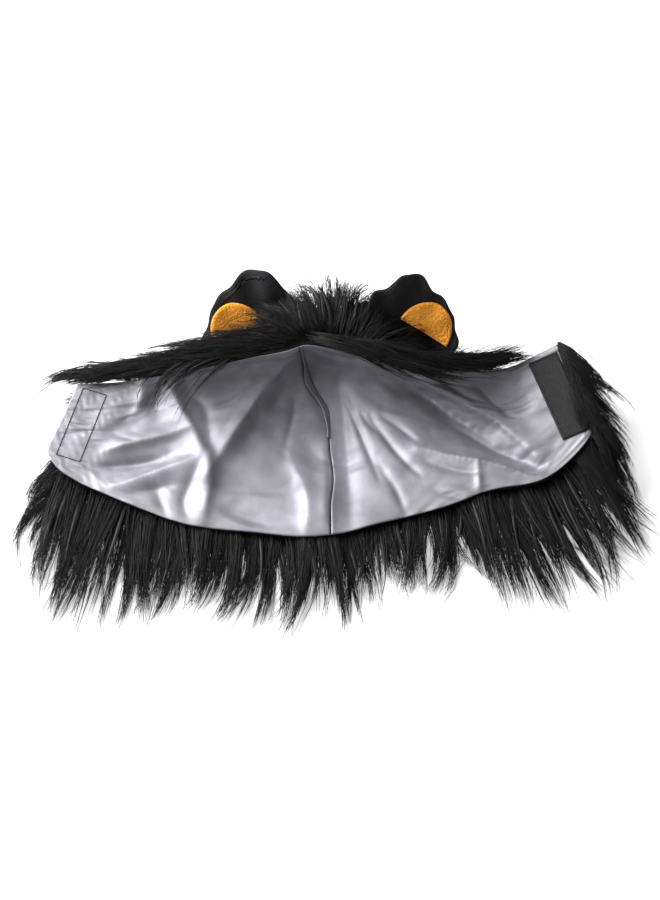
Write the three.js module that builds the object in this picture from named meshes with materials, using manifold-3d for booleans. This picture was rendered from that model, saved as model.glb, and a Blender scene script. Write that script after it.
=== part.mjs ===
// A pet lion mane wig: a hood of long black fur lined with grey satin, lying open with its lining up.
// The neck edge is nearest, the front edge that frames the face is raised behind it, and the two ends
// that close under the chin are spread left and right. Millimetres, +Z up, standing on Z = 0.
import * as THREE from "three";
import { mergeVertices } from "three/addons/utils/BufferGeometryUtils.js";
import Module from "manifold-3d";

const wasm = await Module();
wasm.setup();

// Hood, as it lies
const HALF_SPAN = 221; // centre seam to an end of the hood, measured across
const DEPTH = 145; // neck edge to front edge on the centre seam, measured flat on the table
const CROWN_HEIGHT = 70; // table to the front edge at the centre seam
const CLEARANCE = 0.3; // between pieces that touch
const LAYER_GAP = 0.4; // between the layers of cloth
const LINING_THICKNESS = 1.2;
const BACKING_THICKNESS = 2; // knitted ground of the fur cloth
const PILE_THICKNESS = 12; // pressed fur below the ground
const RIM_PILE = 4; // the same, at the edges
const FLUTE_DEPTH = 3; // hollows between the pressed locks
const FLUTES = 23;

// Closure on the two ends
// endInset is from the end of the hood to the strip, frontInset from the front edge to the strip.
const HOOK_STRIP = { width: 25, length: 74, thickness: 1.8, endInset: 1.5, frontInset: 5 };
const LOOP_STRIP = { width: 20, length: 62, thickness: 1.8, endInset: 11, frontInset: 8 };
const FACING_THICKNESS = 1;
const FACING_WIDTH = 42; // satin turned under the left end, without pile
const TAPE_HOLD = 11; // cloth beyond a stiff strip that it still holds flat
const TAPE_EASE = 24; // cloth beyond that, in which the flatness fades

// Centre seam
const WELT = { height: 5, thickness: 1.4, sway: 2.2, waves: 5 };

// Ears
const EAR = { halfWidth: 40, height: 71, thickness: 4, cup: 8, ruffle: 2.6, ruffles: 5 };
const EAR_FOOT_UP = 0.87; // where the ears' feet stand, from neck edge to front edge
const EAR_FOOT_DEPTH = 11; // ear's foot outside the lining
const EAR_SEAT = 0.3; // air between the ear and the fur that holds it
const PATCH = { radius: 22, height: 26, thickness: 2, foot: 29, shift: 8, gap: 0.9 };

// The ears' outlines from the outer foot over the top to the inner foot, as shares of half width and
// height. The inner side, towards the centre seam, is fuller than the outer side.
const LEFT_EAR = [
  [-0.8, 0], [-0.97, 0.3], [-0.94, 0.5], [-0.8, 0.62], [-0.62, 0.7], [-0.45, 0.8], [-0.2, 0.89],
  [0.1, 0.965], [0.4, 0.995], [0.7, 1], [0.93, 0.95], [1.04, 0.82], [1.07, 0.58], [1, 0.3], [0.8, 0],
];
const RIGHT_EAR = [
  [-0.8, 0], [-0.95, 0.36], [-0.86, 0.56], [-0.7, 0.67], [-0.5, 0.75], [-0.3, 0.82], [-0.1, 0.87],
  [0.15, 0.9], [0.4, 0.93], [0.64, 0.92], [0.82, 0.87], [0.89, 0.76], [0.96, 0.64], [1.1, 0.5], [1.05, 0.28], [0.8, 0],
];

// Fur locks
const LOCK_LENGTH = 96;
const LOCK_WIDTH = 19;
const LOCK_THICKNESS = 9;
const LOCK_SIDES = 4;
const LOCK_RINGS = [
  { along: 0.2, girth: 1 },
  { along: 0.52, girth: 0.9 },
  { along: 0.8, girth: 0.5 },
];

// Sections across the hood, left end to right end: x is a share of HALF_SPAN, y of DEPTH and z of
// CROWN_HEIGHT. sag is how far the cloth hangs below the line from neck to front, bulge how far it
// swells back under the front edge.
const SECTIONS = [
  { neck: [-1.0, -0.04, 0.29], front: [-0.89, 0.41, 0.46], sag: 0.03, bulge: 0 },
  { neck: [-0.835, -0.2, 0.26], front: [-0.73, 0.425, 0.5], sag: 0.08, bulge: 0.03 },
  { neck: [-0.64, -0.34, 0.23], front: [-0.57, 0.425, 0.6], sag: 0.14, bulge: 0.1 },
  { neck: [-0.445, -0.45, 0.215], front: [-0.385, 0.44, 0.745], sag: 0.22, bulge: 0.2 },
  { neck: [-0.23, -0.49, 0.215], front: [-0.215, 0.465, 0.885], sag: 0.37, bulge: 0.27 },
  { neck: [0.0, -0.525, 0.23], front: [-0.045, 0.475, 1.0], sag: 0.55, bulge: 0.3 },
  { neck: [0.225, -0.44, 0.245], front: [0.12, 0.45, 0.945], sag: 0.42, bulge: 0.28 },
  { neck: [0.435, -0.35, 0.26], front: [0.285, 0.435, 0.83], sag: 0.31, bulge: 0.22 },
  { neck: [0.62, -0.24, 0.285], front: [0.45, 0.445, 0.685], sag: 0.23, bulge: 0.14 },
  { neck: [0.815, -0.17, 0.315], front: [0.655, 0.5, 0.5], sag: 0.13, bulge: 0.05 },
  { neck: [1.02, 0.1, 0.46], front: [0.9, 0.632, 0.67], sag: 0.04, bulge: 0 },
];

// Place of the centre seam across the hood, from neck edge to front edge: it wanders a little.
const SEAM_RUN = [0.52, 0.524, 0.532, 0.529, 0.531, 0.503, 0.489, 0.486];

// Main folds of the cloth. Each runs through places (across, up), shares from the left end to the
// right end and from the neck edge to the front edge. left and right are its flanks' widths seen along
// its run, and a fold with a negative height is a hollow.
const FOLDS = [
  { run: [[0.49, 0.98], [0.497, 0.82], [0.52, 0.62]], left: 20, right: 11, high: -5 },
  { run: [[0.555, 0.75], [0.557, 0.4], [0.55, 0]], left: 10, right: 18, high: -6 },
  { run: [[0.45, 0.88], [0.405, 0.68], [0.37, 0.52], [0.342, 0.4], [0.318, 0.3]],
    left: 10, right: 38, high: 13 },
  { run: [[0.318, 0.33], [0.32, 0.21], [0.315, 0.02]], left: 6, right: 13, high: 7.5 },
  { run: [[0.312, 0.33], [0.288, 0.43], [0.25, 0.62], [0.225, 0.8]], left: 9, right: 6, high: 6 },
  { run: [[0.322, 0.36], [0.308, 0.46], [0.295, 0.6], [0.262, 0.75]], left: 6, right: 7, high: -5 },
  { run: [[0.085, 0.26], [0.13, 0.36], [0.18, 0.43], [0.24, 0.48], [0.3, 0.5]], left: 16, right: 7, high: 7 },
  { run: [[0.1, 0.18], [0.145, 0.26], [0.195, 0.32], [0.235, 0.36]], left: 6, right: 9, high: -6 },
  { run: [[0.46, 0.36], [0.485, 0.18], [0.483, 0]], left: 18, right: 7, high: 7 },
  { run: [[0.7, 0.86], [0.745, 0.74], [0.802, 0.58], [0.863, 0.42], [0.915, 0.1]],
    left: 30, right: 8, high: 11 },
  { run: [[0.6, 0.86], [0.64, 0.7], [0.71, 0.5], [0.8, 0.33], [0.89, 0.08]], left: 9, right: 17, high: -9 },
];

// Rows of locks. Roots run from one place to another on the hood, across and up as in FOLDS, below it
// by depth, a share of PILE_THICKNESS. start and tip are a lock's headings at its two ends, in degrees
// from straight towards the neck edge and positive to the right, rise and fall its climb in degrees
// there. Each of these lists and length are spread along the row. length, width and thickness are
// shares of a plain lock.
const LOCK_ROWS = [
  { name: "neck", count: 25, from: [0.06, 0.1], to: [0.98, 0.1], depth: 0.58,
    start: [-24, -12, -4, 0, 2, 4, 6, 8, 14, 22, 38], tip: [-4, 2, -6, -20, -34, -20, 8, -22, 24, 34, 26],
    rise: [-3], fall: [-6], length: [1.34, 1.4, 1.2, 1.0, 1.16, 1.14, 0.76, 0.96, 1.3, 1.42, 1.2],
    width: 1.08, thickness: 1 },
  { name: "neck_under", count: 13, from: [0.11, 0.26], to: [0.95, 0.26], depth: 0.67,
    start: [-30, -6, 6, 4, 12, 26, 44], tip: [-14, 8, -30, -14, 20, 12, 54], rise: [-5], fall: [-2],
    length: [1.2, 1.46, 1.2, 1.4, 1.0, 1.42, 1.36], width: 0.9, thickness: 0.6 },
  { name: "left_end", count: 5, from: [0.11, 0.12], to: [0.12, 0.8], depth: 0.8,
    start: [-70, -96], tip: [-16, -62], rise: [-14], fall: [-14],
    length: [0.84, 0.9], width: 0.85, thickness: 0.6 },
  { name: "right_end", count: 7, from: [0.955, 0.1], to: [0.965, 0.94], depth: 0.5,
    start: [40, 56, 80], tip: [20, 20, 34], rise: [-6], fall: [-34],
    length: [1, 0.95], width: 0.9, thickness: 0.7 },
  { name: "front_left", count: 11, from: [0.49, 0.97], to: [0.13, 0.985], depth: 0.5,
    start: [-96, -88, -86, -104], tip: [-82, -80, -78, -70], rise: [14, 6, 10, 8], fall: [-26, -18],
    length: [0.95], width: 0.8, thickness: 0.9 },
  { name: "front_right", count: 9, from: [0.52, 0.97], to: [0.83, 0.975], depth: 0.5,
    start: [80, 66, 78, 94], tip: [62, 82, 96, 112], rise: [24, 26, 20, 12], fall: [-34, -24, -12, -8],
    length: [0.85, 0.8, 0.64], width: 0.85, thickness: 0.9 },
  { name: "crown", count: 7, from: [0.16, 0.9], to: [0.84, 0.9], depth: 0.75,
    start: [-130, -180, -230], tip: [-112, -180, -248], rise: [-8], fall: [-66],
    length: [0.6, 0.72, 0.6], width: 1.6, thickness: 0.9 },
  { name: "back", count: 15, from: [0.06, 0.8], to: [0.94, 0.8], depth: 0.83,
    start: [-118, -150, -180, -210, -242], tip: [-100, -140, -180, -220, -260], rise: [2], fall: [-58],
    length: [0.7, 0.78, 0.84, 0.78, 0.7], width: 1.35, thickness: 1 },
  { name: "forelock", count: 8, from: [0.46, 0.95], to: [0.55, 0.95], depth: 0.5,
    start: [-140, -170, -200, -220], tip: [-96, -150, -200, -262], rise: [72], fall: [20],
    length: [0.6, 0.52, 0.6], width: 0.6, thickness: 0.8 },
];

// A repeatable number from 0 to 1 for the nth lock of a row.
function scatter(seed) {
  const wave = Math.sin(seed * 12.9898 + 4.1414) * 43758.5453;
  return wave - Math.floor(wave);
}

const mix = THREE.MathUtils.lerp;
const radians = THREE.MathUtils.degToRad;
const shareOut = (count, from, to) =>
  Array.from({ length: count }, (_, i) => mix(from, to, i / (count - 1)));

// The value at a share of a list that is spread evenly.
function spread(list, share) {
  const place = share * (list.length - 1);
  const i = Math.min(Math.floor(place), list.length - 2);
  return list.length === 1 ? list[0] : mix(list[i], list[i + 1], place - i);
}

// Edges of the hood as curves through the sections
const scaled = ([x, y, z]) => new THREE.Vector3(x * HALF_SPAN, y * DEPTH, z * CROWN_HEIGHT);
const neckEdge = new THREE.CatmullRomCurve3(SECTIONS.map((s) => scaled(s.neck)));
const frontEdge = new THREE.CatmullRomCurve3(SECTIONS.map((s) => scaled(s.front)));
const slack = new THREE.CatmullRomCurve3(
  SECTIONS.map((s) => new THREE.Vector3(s.sag * CROWN_HEIGHT, s.bulge * DEPTH, 0)),
);

const flatPlace = ([across, up]) => new THREE.Vector3(across * 2 * HALF_SPAN, up * DEPTH, 0);
const foldRuns = FOLDS.map((fold) => new THREE.CatmullRomCurve3(fold.run.map(flatPlace)).getPoints(14));

// Height that the folds add at one place of the hood. A fold fades towards its two ends.
function foldHeight(across, up) {
  const place = flatPlace([across, up]);
  let height = 0;
  FOLDS.forEach((fold, n) => {
    const run = foldRuns[n];
    let nearest = Infinity;
    let beside = 0;
    let along = 0;
    for (let k = 0; k < run.length - 1; k++) {
      const step = run[k + 1].clone().sub(run[k]);
      const away = place.clone().sub(run[k]);
      const share = THREE.MathUtils.clamp(away.dot(step) / step.lengthSq(), 0, 1);
      const distance = away.clone().addScaledVector(step, -share).length();
      if (distance < nearest) {
        nearest = distance;
        beside = Math.sign(step.x * away.y - step.y * away.x) * distance;
        along = (k + share) / (run.length - 1);
      }
    }
    const width = beside > 0 ? fold.left : fold.right;
    const flank = Math.pow(1 + (beside / width) ** 2, -1.5);
    const fade = 0.35 + 0.65 * Math.sin(Math.PI * THREE.MathUtils.clamp(along, 0.04, 0.96));
    height += fold.high * flank * fade;
  });
  return height;
}

// The cloth's two neck corners are cut round: near them its edge is drawn up.
function roundCorners(across, up) {
  const left = Math.max(0, 1 - across / 0.055);
  const right = Math.max(0, 1 - (1 - across) / 0.04);
  const lowest = 0.17 * (1 - Math.sqrt(1 - left * left)) + 0.1 * (1 - Math.sqrt(1 - right * right));
  return mix(lowest, 1, up);
}

// The hood's upper surface without folds: a bowl that is deepest near the front edge.
function bowl(across, up) {
  const DEEPEST = 1.4; // above 1, the deepest place moves towards the front edge
  const BULGE_PEAK = 4 / 27;
  const point = neckEdge.getPoint(across).lerp(frontEdge.getPoint(across), up);
  const { x: sag, y: bulge } = slack.getPoint(across);
  point.z -= sag * Math.sin(Math.PI * Math.pow(up, DEEPEST));
  point.y += (bulge * up * up * (1 - up)) / BULGE_PEAK;
  return point;
}

function foldedBowl(across, up) {
  const point = bowl(across, up);
  const inside = Math.min(1, 6 * Math.min(up, 1 - up) + 0.45);
  point.z += inside * foldHeight(across, up);
  return point;
}

// Unit frame of a surface at one place: right runs to the right end, far to the front edge.
function frameOf(surface, across, up) {
  const STEP = 0.004;
  const a = THREE.MathUtils.clamp(across, STEP, 1 - STEP);
  const b = THREE.MathUtils.clamp(up, STEP, 1 - STEP);
  const right = surface(a + STEP, b).sub(surface(a - STEP, b)).normalize();
  const far = surface(a, b + STEP).sub(surface(a, b - STEP));
  const normal = new THREE.Vector3().crossVectors(right, far).normalize();
  return { right, far: new THREE.Vector3().crossVectors(normal, right), normal };
}

// Where a closure strip lies: beside the hood's end, and as flat on the cloth as it can.
function stripPlace(strip, end) {
  const inwards = end === 1 ? -1 : 1;
  const middle = strip.endInset + strip.width / 2;
  const across = end + (inwards * middle) / (2 * HALF_SPAN);
  const low = bowl(across, 0);
  const high = bowl(across, 1);
  const long = high.clone().sub(low).normalize();
  const wide = bowl(end, 0.5).sub(bowl(across, 0.5)).multiplyScalar(-inwards);
  wide.addScaledVector(long, -wide.dot(long)).normalize();
  const normal = new THREE.Vector3().crossVectors(wide, long);
  const centre = high.addScaledVector(long, -strip.frontInset - strip.length / 2);
  return { ...strip, centre, long, wide, normal };
}

const facedShare = FACING_WIDTH / (2 * HALF_SPAN);
const seamCurve = new THREE.CatmullRomCurve3(SEAM_RUN.map((across) => new THREE.Vector3(across, 0, 0)));

function seamed(across, up) {
  const seam = seamCurve.getPoint(up).x;
  if (across <= facedShare) return across;
  if (across >= 0.5) return mix(seam, 1, (across - 0.5) / 0.5);
  return mix(facedShare, seam, (across - facedShare) / (0.5 - facedShare));
}

const hookPlace = stripPlace(HOOK_STRIP, 1);
const loopPlace = stripPlace(LOOP_STRIP, 0);

// The cloth where it lies in the finished hood: flat around the strips and folded elsewhere. A grid
// line that is straight on the pattern at across 0.5 runs along the centre seam.
function cloth(across, up) {
  const point = foldedBowl(seamed(across, up), roundCorners(across, up));
  for (const place of [hookPlace, loopPlace]) {
    const away = point.clone().sub(place.centre);
    const beyond = Math.max(
      Math.abs(away.dot(place.wide)) - place.width / 2,
      Math.abs(away.dot(place.long)) - place.length / 2,
    );
    const held = 1 - THREE.MathUtils.smoothstep(beyond, TAPE_HOLD, TAPE_HOLD + TAPE_EASE);
    point.addScaledVector(place.normal, -away.dot(place.normal) * held);
  }
  return point;
}

function below(across, up, distance) {
  return cloth(across, up).addScaledVector(frameOf(cloth, across, up).normal, -distance);
}

// The same place, but moved out past the hood's edges by the clearance.
function belowAndPast(across, up, distance) {
  const { right, far } = frameOf(cloth, across, up);
  const outwards = (share) => (share === 0 ? -CLEARANCE : share === 1 ? CLEARANCE : 0);
  const point = below(across, up, distance);
  return point.addScaledVector(right, outwards(across)).addScaledVector(far, outwards(up));
}

// A closed geometry from points and triangles, with doubled points and flat slivers removed.
function closedGeometry(points, triangles) {
  const raw = new THREE.BufferGeometry();
  const numbers = points.flatMap((p) => [p.x, p.y, p.z]);
  raw.setAttribute("position", new THREE.Float32BufferAttribute(numbers, 3));
  raw.setIndex(triangles.flat());
  const merged = mergeVertices(raw, 1e-3);
  const corners = Array.from(merged.index.array);
  const kept = [];
  for (let i = 0; i < corners.length; i += 3) {
    const [a, b, c] = corners.slice(i, i + 3);
    if (a !== b && b !== c && c !== a) kept.push(a, b, c);
  }
  merged.setIndex(kept);
  return merged;
}

// A solid between two grids of points with the same rows and columns, the upper one facing up.
function layerGeometry(acrossList, upList, upper, lower) {
  const rows = upList.length;
  const topPoints = acrossList.flatMap((a) => upList.map((b) => upper(a, b)));
  const lowPoints = acrossList.flatMap((a) => upList.map((b) => lower(a, b)));
  const lowStart = topPoints.length;
  const at = (i, j) => i * rows + j;
  const triangles = [];
  const quad = (p, q, r, s) => triangles.push([p, q, r], [p, r, s]);
  for (let i = 0; i < acrossList.length - 1; i++) {
    for (let j = 0; j < rows - 1; j++) {
      quad(at(i, j), at(i + 1, j), at(i + 1, j + 1), at(i, j + 1));
      const p = lowStart + at(i, j);
      quad(p, p + 1, p + rows + 1, p + rows);
    }
  }
  const wall = (p, q) => quad(q, p, lowStart + p, lowStart + q);
  const last = acrossList.length - 1;
  for (let i = 0; i < last; i++) {
    wall(at(i, 0), at(i + 1, 0));
    wall(at(i + 1, rows - 1), at(i, rows - 1));
  }
  for (let j = 0; j < rows - 1; j++) {
    wall(at(0, j + 1), at(0, j));
    wall(at(last, j), at(last, j + 1));
  }
  return closedGeometry([...topPoints, ...lowPoints], triangles);
}

function toSolid(geometry) {
  const bare = new THREE.BufferGeometry();
  bare.setAttribute("position", geometry.getAttribute("position").clone());
  bare.setIndex(geometry.index ? geometry.index.clone() : null);
  const merged = mergeVertices(bare, 1e-3);
  return new wasm.Manifold(
    new wasm.Mesh({
      numProp: 3,
      vertProperties: new Float32Array(merged.getAttribute("position").array),
      triVerts: new Uint32Array(merged.index.array),
    }),
  );
}

function toGeometry(solid) {
  const mesh = solid.getMesh();
  const geometry = new THREE.BufferGeometry();
  geometry.setAttribute("position", new THREE.BufferAttribute(mesh.vertProperties, 3));
  geometry.setIndex(new THREE.BufferAttribute(mesh.triVerts, 1));
  return geometry;
}

// Grid lines shared by the lining and the fur, so that the two layers stay parallel
const UNDER_LINING = LINING_THICKNESS + LAYER_GAP;
const seamShare = CLEARANCE / (4 * HALF_SPAN);
const facedColumns = shareOut(4, 0, facedShare);
const leftColumns = [...facedColumns, ...shareOut(14, facedShare, 0.5 - seamShare).slice(1)];
const rightColumns = shareOut(17, 0.5 + seamShare, 1);
const rowLines = shareOut(12, 0, 1);

function liningPanel(columns) {
  return layerGeometry(columns, rowLines, cloth, (a, b) => below(a, b, LINING_THICKNESS));
}

// The two halves of the lining turn up along the centre seam as a standing welt.
function seamWelt() {
  const stations = rowLines.filter((up) => up > 0.4 && up < 0.97);
  const fullHeight = (up) => Math.sin((Math.PI * (up - 0.42)) / 0.54 + 0.15) * 0.7 + 0.3;
  const foot = (up) => cloth(0.5, up);
  const ribbon = (side) => (up, share) => {
    const { normal, right } = frameOf(cloth, 0.5, up);
    const sway = WELT.sway * share * Math.sin(up * WELT.waves * Math.PI);
    return foot(up)
      .addScaledVector(normal, CLEARANCE * 2 + share * WELT.height * Math.max(0.3, fullHeight(up)))
      .addScaledVector(right, sway + (side * WELT.thickness) / 2);
  };
  return layerGeometry(stations, [0, 0.5, 1], ribbon(1), ribbon(-1));
}

// Satin turned under the left end, where the fur cloth stops short.
function tabFacing() {
  const under = (distance) => (a, b) => below(a, b, distance);
  const top = UNDER_LINING;
  return layerGeometry(facedColumns, rowLines, under(top), under(top + FACING_THICKNESS));
}

// Pressed fur under the hood: thick in the middle, thin at the rim, fluted, and flat on the table.
function pileBelow(across, up) {
  const start = facedShare;
  const inner = Math.min(up, 1 - up, 3 * (across - start), 3 * (1 - across));
  const rim = Math.sin(Math.PI * Math.max(0, Math.min(0.5, 1.6 * inner)));
  const lean = (across - 0.5) * 0.5;
  const flute = Math.cos(2 * Math.PI * FLUTES * (across + lean * up * 0.3));
  return mix(RIM_PILE, PILE_THICKNESS, rim) + (flute * FLUTE_DEPTH * rim) / 2;
}

function furGround() {
  const lower = (a, b) => {
    const point = below(a, b, UNDER_LINING + BACKING_THICKNESS);
    point.addScaledVector(frameOf(bowl, a, b).normal, -pileBelow(a, b));
    point.z = Math.max(0, point.z);
    return point;
  };
  const firstColumn = facedShare + CLEARANCE / (2 * HALF_SPAN);
  const columns = [firstColumn, ...leftColumns.slice(facedColumns.length), ...rightColumns];
  return layerGeometry(columns, rowLines, (a, b) => below(a, b, UNDER_LINING), lower);
}

// A lock's run from root to tip. It turns from one heading to another and settles on the table.
function lockPath(root, heading, climb, length, rest) {
  const STEPS = 16;
  const points = [root.clone()];
  for (let i = 0; i < STEPS; i++) {
    const share = i / (STEPS - 1);
    const way = radians(spread(heading, share * share));
    const rise = radians(spread(climb, share));
    const step = new THREE.Vector3(
      Math.sin(way) * Math.cos(rise),
      -Math.cos(way) * Math.cos(rise),
      Math.sin(rise),
    ).multiplyScalar(length / STEPS);
    const next = points[i].clone().add(step);
    next.z = Math.max(rest, next.z);
    points.push(next);
  }
  return new THREE.CatmullRomCurve3(points);
}

// A tapered lock of hair along a path, flattened where it meets the table.
function lockGeometry(path, width, thickness) {
  const points = [path.getPoint(0)];
  for (const ring of LOCK_RINGS) {
    const centre = path.getPointAt(ring.along);
    const way = path.getTangentAt(ring.along);
    const side = new THREE.Vector3(-way.y, way.x, 0).normalize();
    const above = new THREE.Vector3().crossVectors(way, side);
    for (let k = 0; k < LOCK_SIDES; k++) {
      const turn = (k * 2 * Math.PI) / LOCK_SIDES;
      const point = centre
        .clone()
        .addScaledVector(side, (Math.cos(turn) * ring.girth * width) / 2)
        .addScaledVector(above, (Math.sin(turn) * ring.girth * thickness) / 2);
      points.push(new THREE.Vector3(point.x, point.y, Math.max(0, point.z)));
    }
  }
  points.push(path.getPoint(1));
  const tip = points.length - 1;
  const at = (ring, k) => 1 + ring * LOCK_SIDES + (k % LOCK_SIDES);
  const triangles = [];
  const lastRing = LOCK_RINGS.length - 1;
  for (let k = 0; k < LOCK_SIDES; k++) {
    triangles.push([0, at(0, k + 1), at(0, k)], [tip, at(lastRing, k), at(lastRing, k + 1)]);
    for (let ring = 0; ring < lastRing; ring++) {
      triangles.push([at(ring, k), at(ring, k + 1), at(ring + 1, k + 1)]);
      triangles.push([at(ring, k), at(ring + 1, k + 1), at(ring + 1, k)]);
    }
  }
  return closedGeometry(points, triangles);
}

// One row of locks, each a little off the row's even spread.
function lockRow(row, rowNumber) {
  return Array.from({ length: row.count }, (_, i) => {
    const share = i / (row.count - 1);
    const seed = rowNumber * 31 + i;
    const across = mix(row.from[0], row.to[0], share);
    const up = mix(row.from[1], row.to[1], share);
    const stray = (scatter(seed) - 0.5) * 14;
    const heading = [spread(row.start, share), spread(row.tip, share) + stray];
    const climb = [spread(row.rise, share), spread(row.fall, share)];
    const length = LOCK_LENGTH * spread(row.length, share) * mix(0.88, 1.1, scatter(seed + 0.5));
    const width = LOCK_WIDTH * row.width * mix(0.88, 1.12, scatter(seed + 0.25));
    const thickness = LOCK_THICKNESS * row.thickness;
    const root = below(across, up, UNDER_LINING + row.depth * PILE_THICKNESS);
    root.z = Math.max(root.z, thickness / 3);
    const path = lockPath(root, heading, climb, length, thickness / 4);
    return lockGeometry(path, width, thickness);
  });
}

// A flat strip at its place, its middle lifted off the cloth. margin grows it on every side.
function stripGeometry(place, lift, margin = 0) {
  const grown = (size) => size + 2 * margin;
  const box = new THREE.BoxGeometry(grown(place.width), grown(place.length), grown(place.thickness));
  const turned = new THREE.Matrix4().makeBasis(place.wide, place.long, place.normal);
  const centre = place.centre.clone().addScaledVector(place.normal, lift);
  return box.applyMatrix4(turned.setPosition(centre));
}

const hookLift = CLEARANCE + HOOK_STRIP.thickness / 2;
const loopLift = -UNDER_LINING - FACING_THICKNESS - CLEARANCE - LOOP_STRIP.thickness / 2;

const outlineCurve = (places) =>
  new THREE.CatmullRomCurve3(places.map(([x, y]) => new THREE.Vector3(x * EAR.halfWidth, y * EAR.height, 0)));

// Height of an ear's face in its own frame: X to the inner side, Y up from its foot, Z to the front.
function earFace(x, y) {
  const wide = x / EAR.halfWidth;
  const tall = y / EAR.height;
  const turn = Math.atan2(tall, wide);
  const out = Math.min(1, Math.hypot(wide, tall));
  return EAR.cup * wide * wide + EAR.ruffle * Math.sin(2 * EAR.ruffles * turn) * Math.pow(out, 5);
}

// An ear blade. margin grows it all round, for the room that it needs in the fur.
function earBlade(outline, margin = 0) {
  const curve = outlineCurve(outline);
  const face = (offset) => (share, out) => {
    const rim = curve.getPoint(share);
    const grown = rim.clone().setLength(rim.length() + margin);
    const x = grown.x * out;
    const y = grown.y * out - margin;
    return new THREE.Vector3(x, y, earFace(x, y) + offset);
  };
  return layerGeometry(shareOut(17, 0, 1), shareOut(5, 0, 1), face(margin), face(-EAR.thickness - margin));
}

// The fleece patch on an ear, a little more than half a disc. It sits towards the outer side.
function earPatch(margin = 0) {
  const face = (offset) => (share, out) => {
    const turn = Math.PI * (1 - share);
    const x = Math.cos(turn) * (PATCH.radius + margin) * out - PATCH.shift;
    const y = PATCH.foot - margin + Math.sin(turn) * (PATCH.height + 2 * margin) * out;
    return new THREE.Vector3(x, y, earFace(x, y) + offset);
  };
  const top = PATCH.gap + PATCH.thickness;
  return layerGeometry(shareOut(11, 0, 1), shareOut(4, 0, 1), face(top + margin), face(PATCH.gap - margin));
}

// Turns an ear's geometry from its own frame to its place outside the crown. lean is degrees back
// from upright, splay degrees outwards, and drop sinks it into the fur. The right ear is mirrored.
function placeEar(geometry, place) {
  const inner = place.across < 0.5 ? 1 : -1;
  const foot = below(place.across, EAR_FOOT_UP, EAR_FOOT_DEPTH);
  if (inner < 0) {
    geometry.scale(-1, 1, 1);
    geometry.index.array.reverse();
  }
  geometry.rotateZ(inner * radians(place.splay));
  geometry.rotateX(radians(90 - place.lean));
  return geometry.translate(foot.x, foot.y, foot.z - place.drop);
}

const EAR_PLACES = [
  { side: "left", across: 0.418, drop: 14, lean: 32, splay: 26, outline: LEFT_EAR },
  { side: "right", across: 0.693, drop: 0, lean: 32, splay: 31, outline: RIGHT_EAR },
];

// Fur: the ground with every lock fused on, cut clear of all that lies on it or is set into it.
function furShell() {
  const locks = LOCK_ROWS.flatMap(lockRow).map(toSolid);
  const grown = wasm.Manifold.union([toSolid(furGround()), ...locks]);
  const under = (distance) => (a, b) => belowAndPast(a, b, distance);
  const columns = [...leftColumns, ...rightColumns];
  const liningRoom = layerGeometry(columns, rowLines, under(-CLEARANCE), under(UNDER_LINING));
  const facingRoom = layerGeometry(
    [0, ...facedColumns.slice(1, -1), facedShare + CLEARANCE / (2 * HALF_SPAN)],
    rowLines,
    under(LINING_THICKNESS),
    under(UNDER_LINING + FACING_THICKNESS + LAYER_GAP),
  );
  const rooms = [
    liningRoom,
    facingRoom,
    stripGeometry(hookPlace, hookLift, CLEARANCE),
    stripGeometry(loopPlace, loopLift, CLEARANCE),
    ...EAR_PLACES.map((place) => placeEar(earBlade(place.outline, EAR_SEAT), place)),
    ...EAR_PLACES.map((place) => placeEar(earPatch(EAR_SEAT), place)),
  ];
  const cut = rooms.map(toSolid).reduce((solid, room) => solid.subtract(room), grown);
  const bodies = cut.decompose();
  const larger = (one, other) => (other.volume() > one.volume() ? other : one);
  return toGeometry(bodies.reduce(larger));
}

const materials = {
  satin: new THREE.MeshStandardMaterial({ color: 0x9d9ca8, roughness: 0.32, metalness: 0 }),
  fur: new THREE.MeshStandardMaterial({ color: 0x141316, roughness: 0.55, metalness: 0 }),
  blackFleece: new THREE.MeshStandardMaterial({ color: 0x17161a, roughness: 0.95, metalness: 0 }),
  orangeFleece: new THREE.MeshStandardMaterial({ color: 0xf09a1e, roughness: 0.95, metalness: 0 }),
  tape: new THREE.MeshStandardMaterial({ color: 0x1d1c20, roughness: 0.85, metalness: 0 }),
};

const wig = new THREE.Group();

function addPiece(name, geometry, material) {
  const mesh = new THREE.Mesh(geometry, material);
  mesh.name = name;
  wig.add(mesh);
}

addPiece("lining_left", liningPanel(leftColumns), materials.satin);
addPiece("lining_right", liningPanel(rightColumns), materials.satin);
addPiece("seam_welt", seamWelt(), materials.satin);
addPiece("tab_facing", tabFacing(), materials.satin);
addPiece("hook_strip", stripGeometry(hookPlace, hookLift), materials.tape);
addPiece("loop_strip", stripGeometry(loopPlace, loopLift), materials.tape);
addPiece("fur_shell", furShell(), materials.fur);
for (const place of EAR_PLACES) {
  addPiece(`ear_${place.side}`, placeEar(earBlade(place.outline), place), materials.blackFleece);
  addPiece(`ear_patch_${place.side}`, placeEar(earPatch(), place), materials.orangeFleece);
}

// The wig stands centred on the origin.
const extent = new THREE.Box3().setFromObject(wig);
const middle = extent.getCenter(new THREE.Vector3());
wig.position.set(-middle.x, -middle.y, -extent.min.z);

export default wig;
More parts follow.
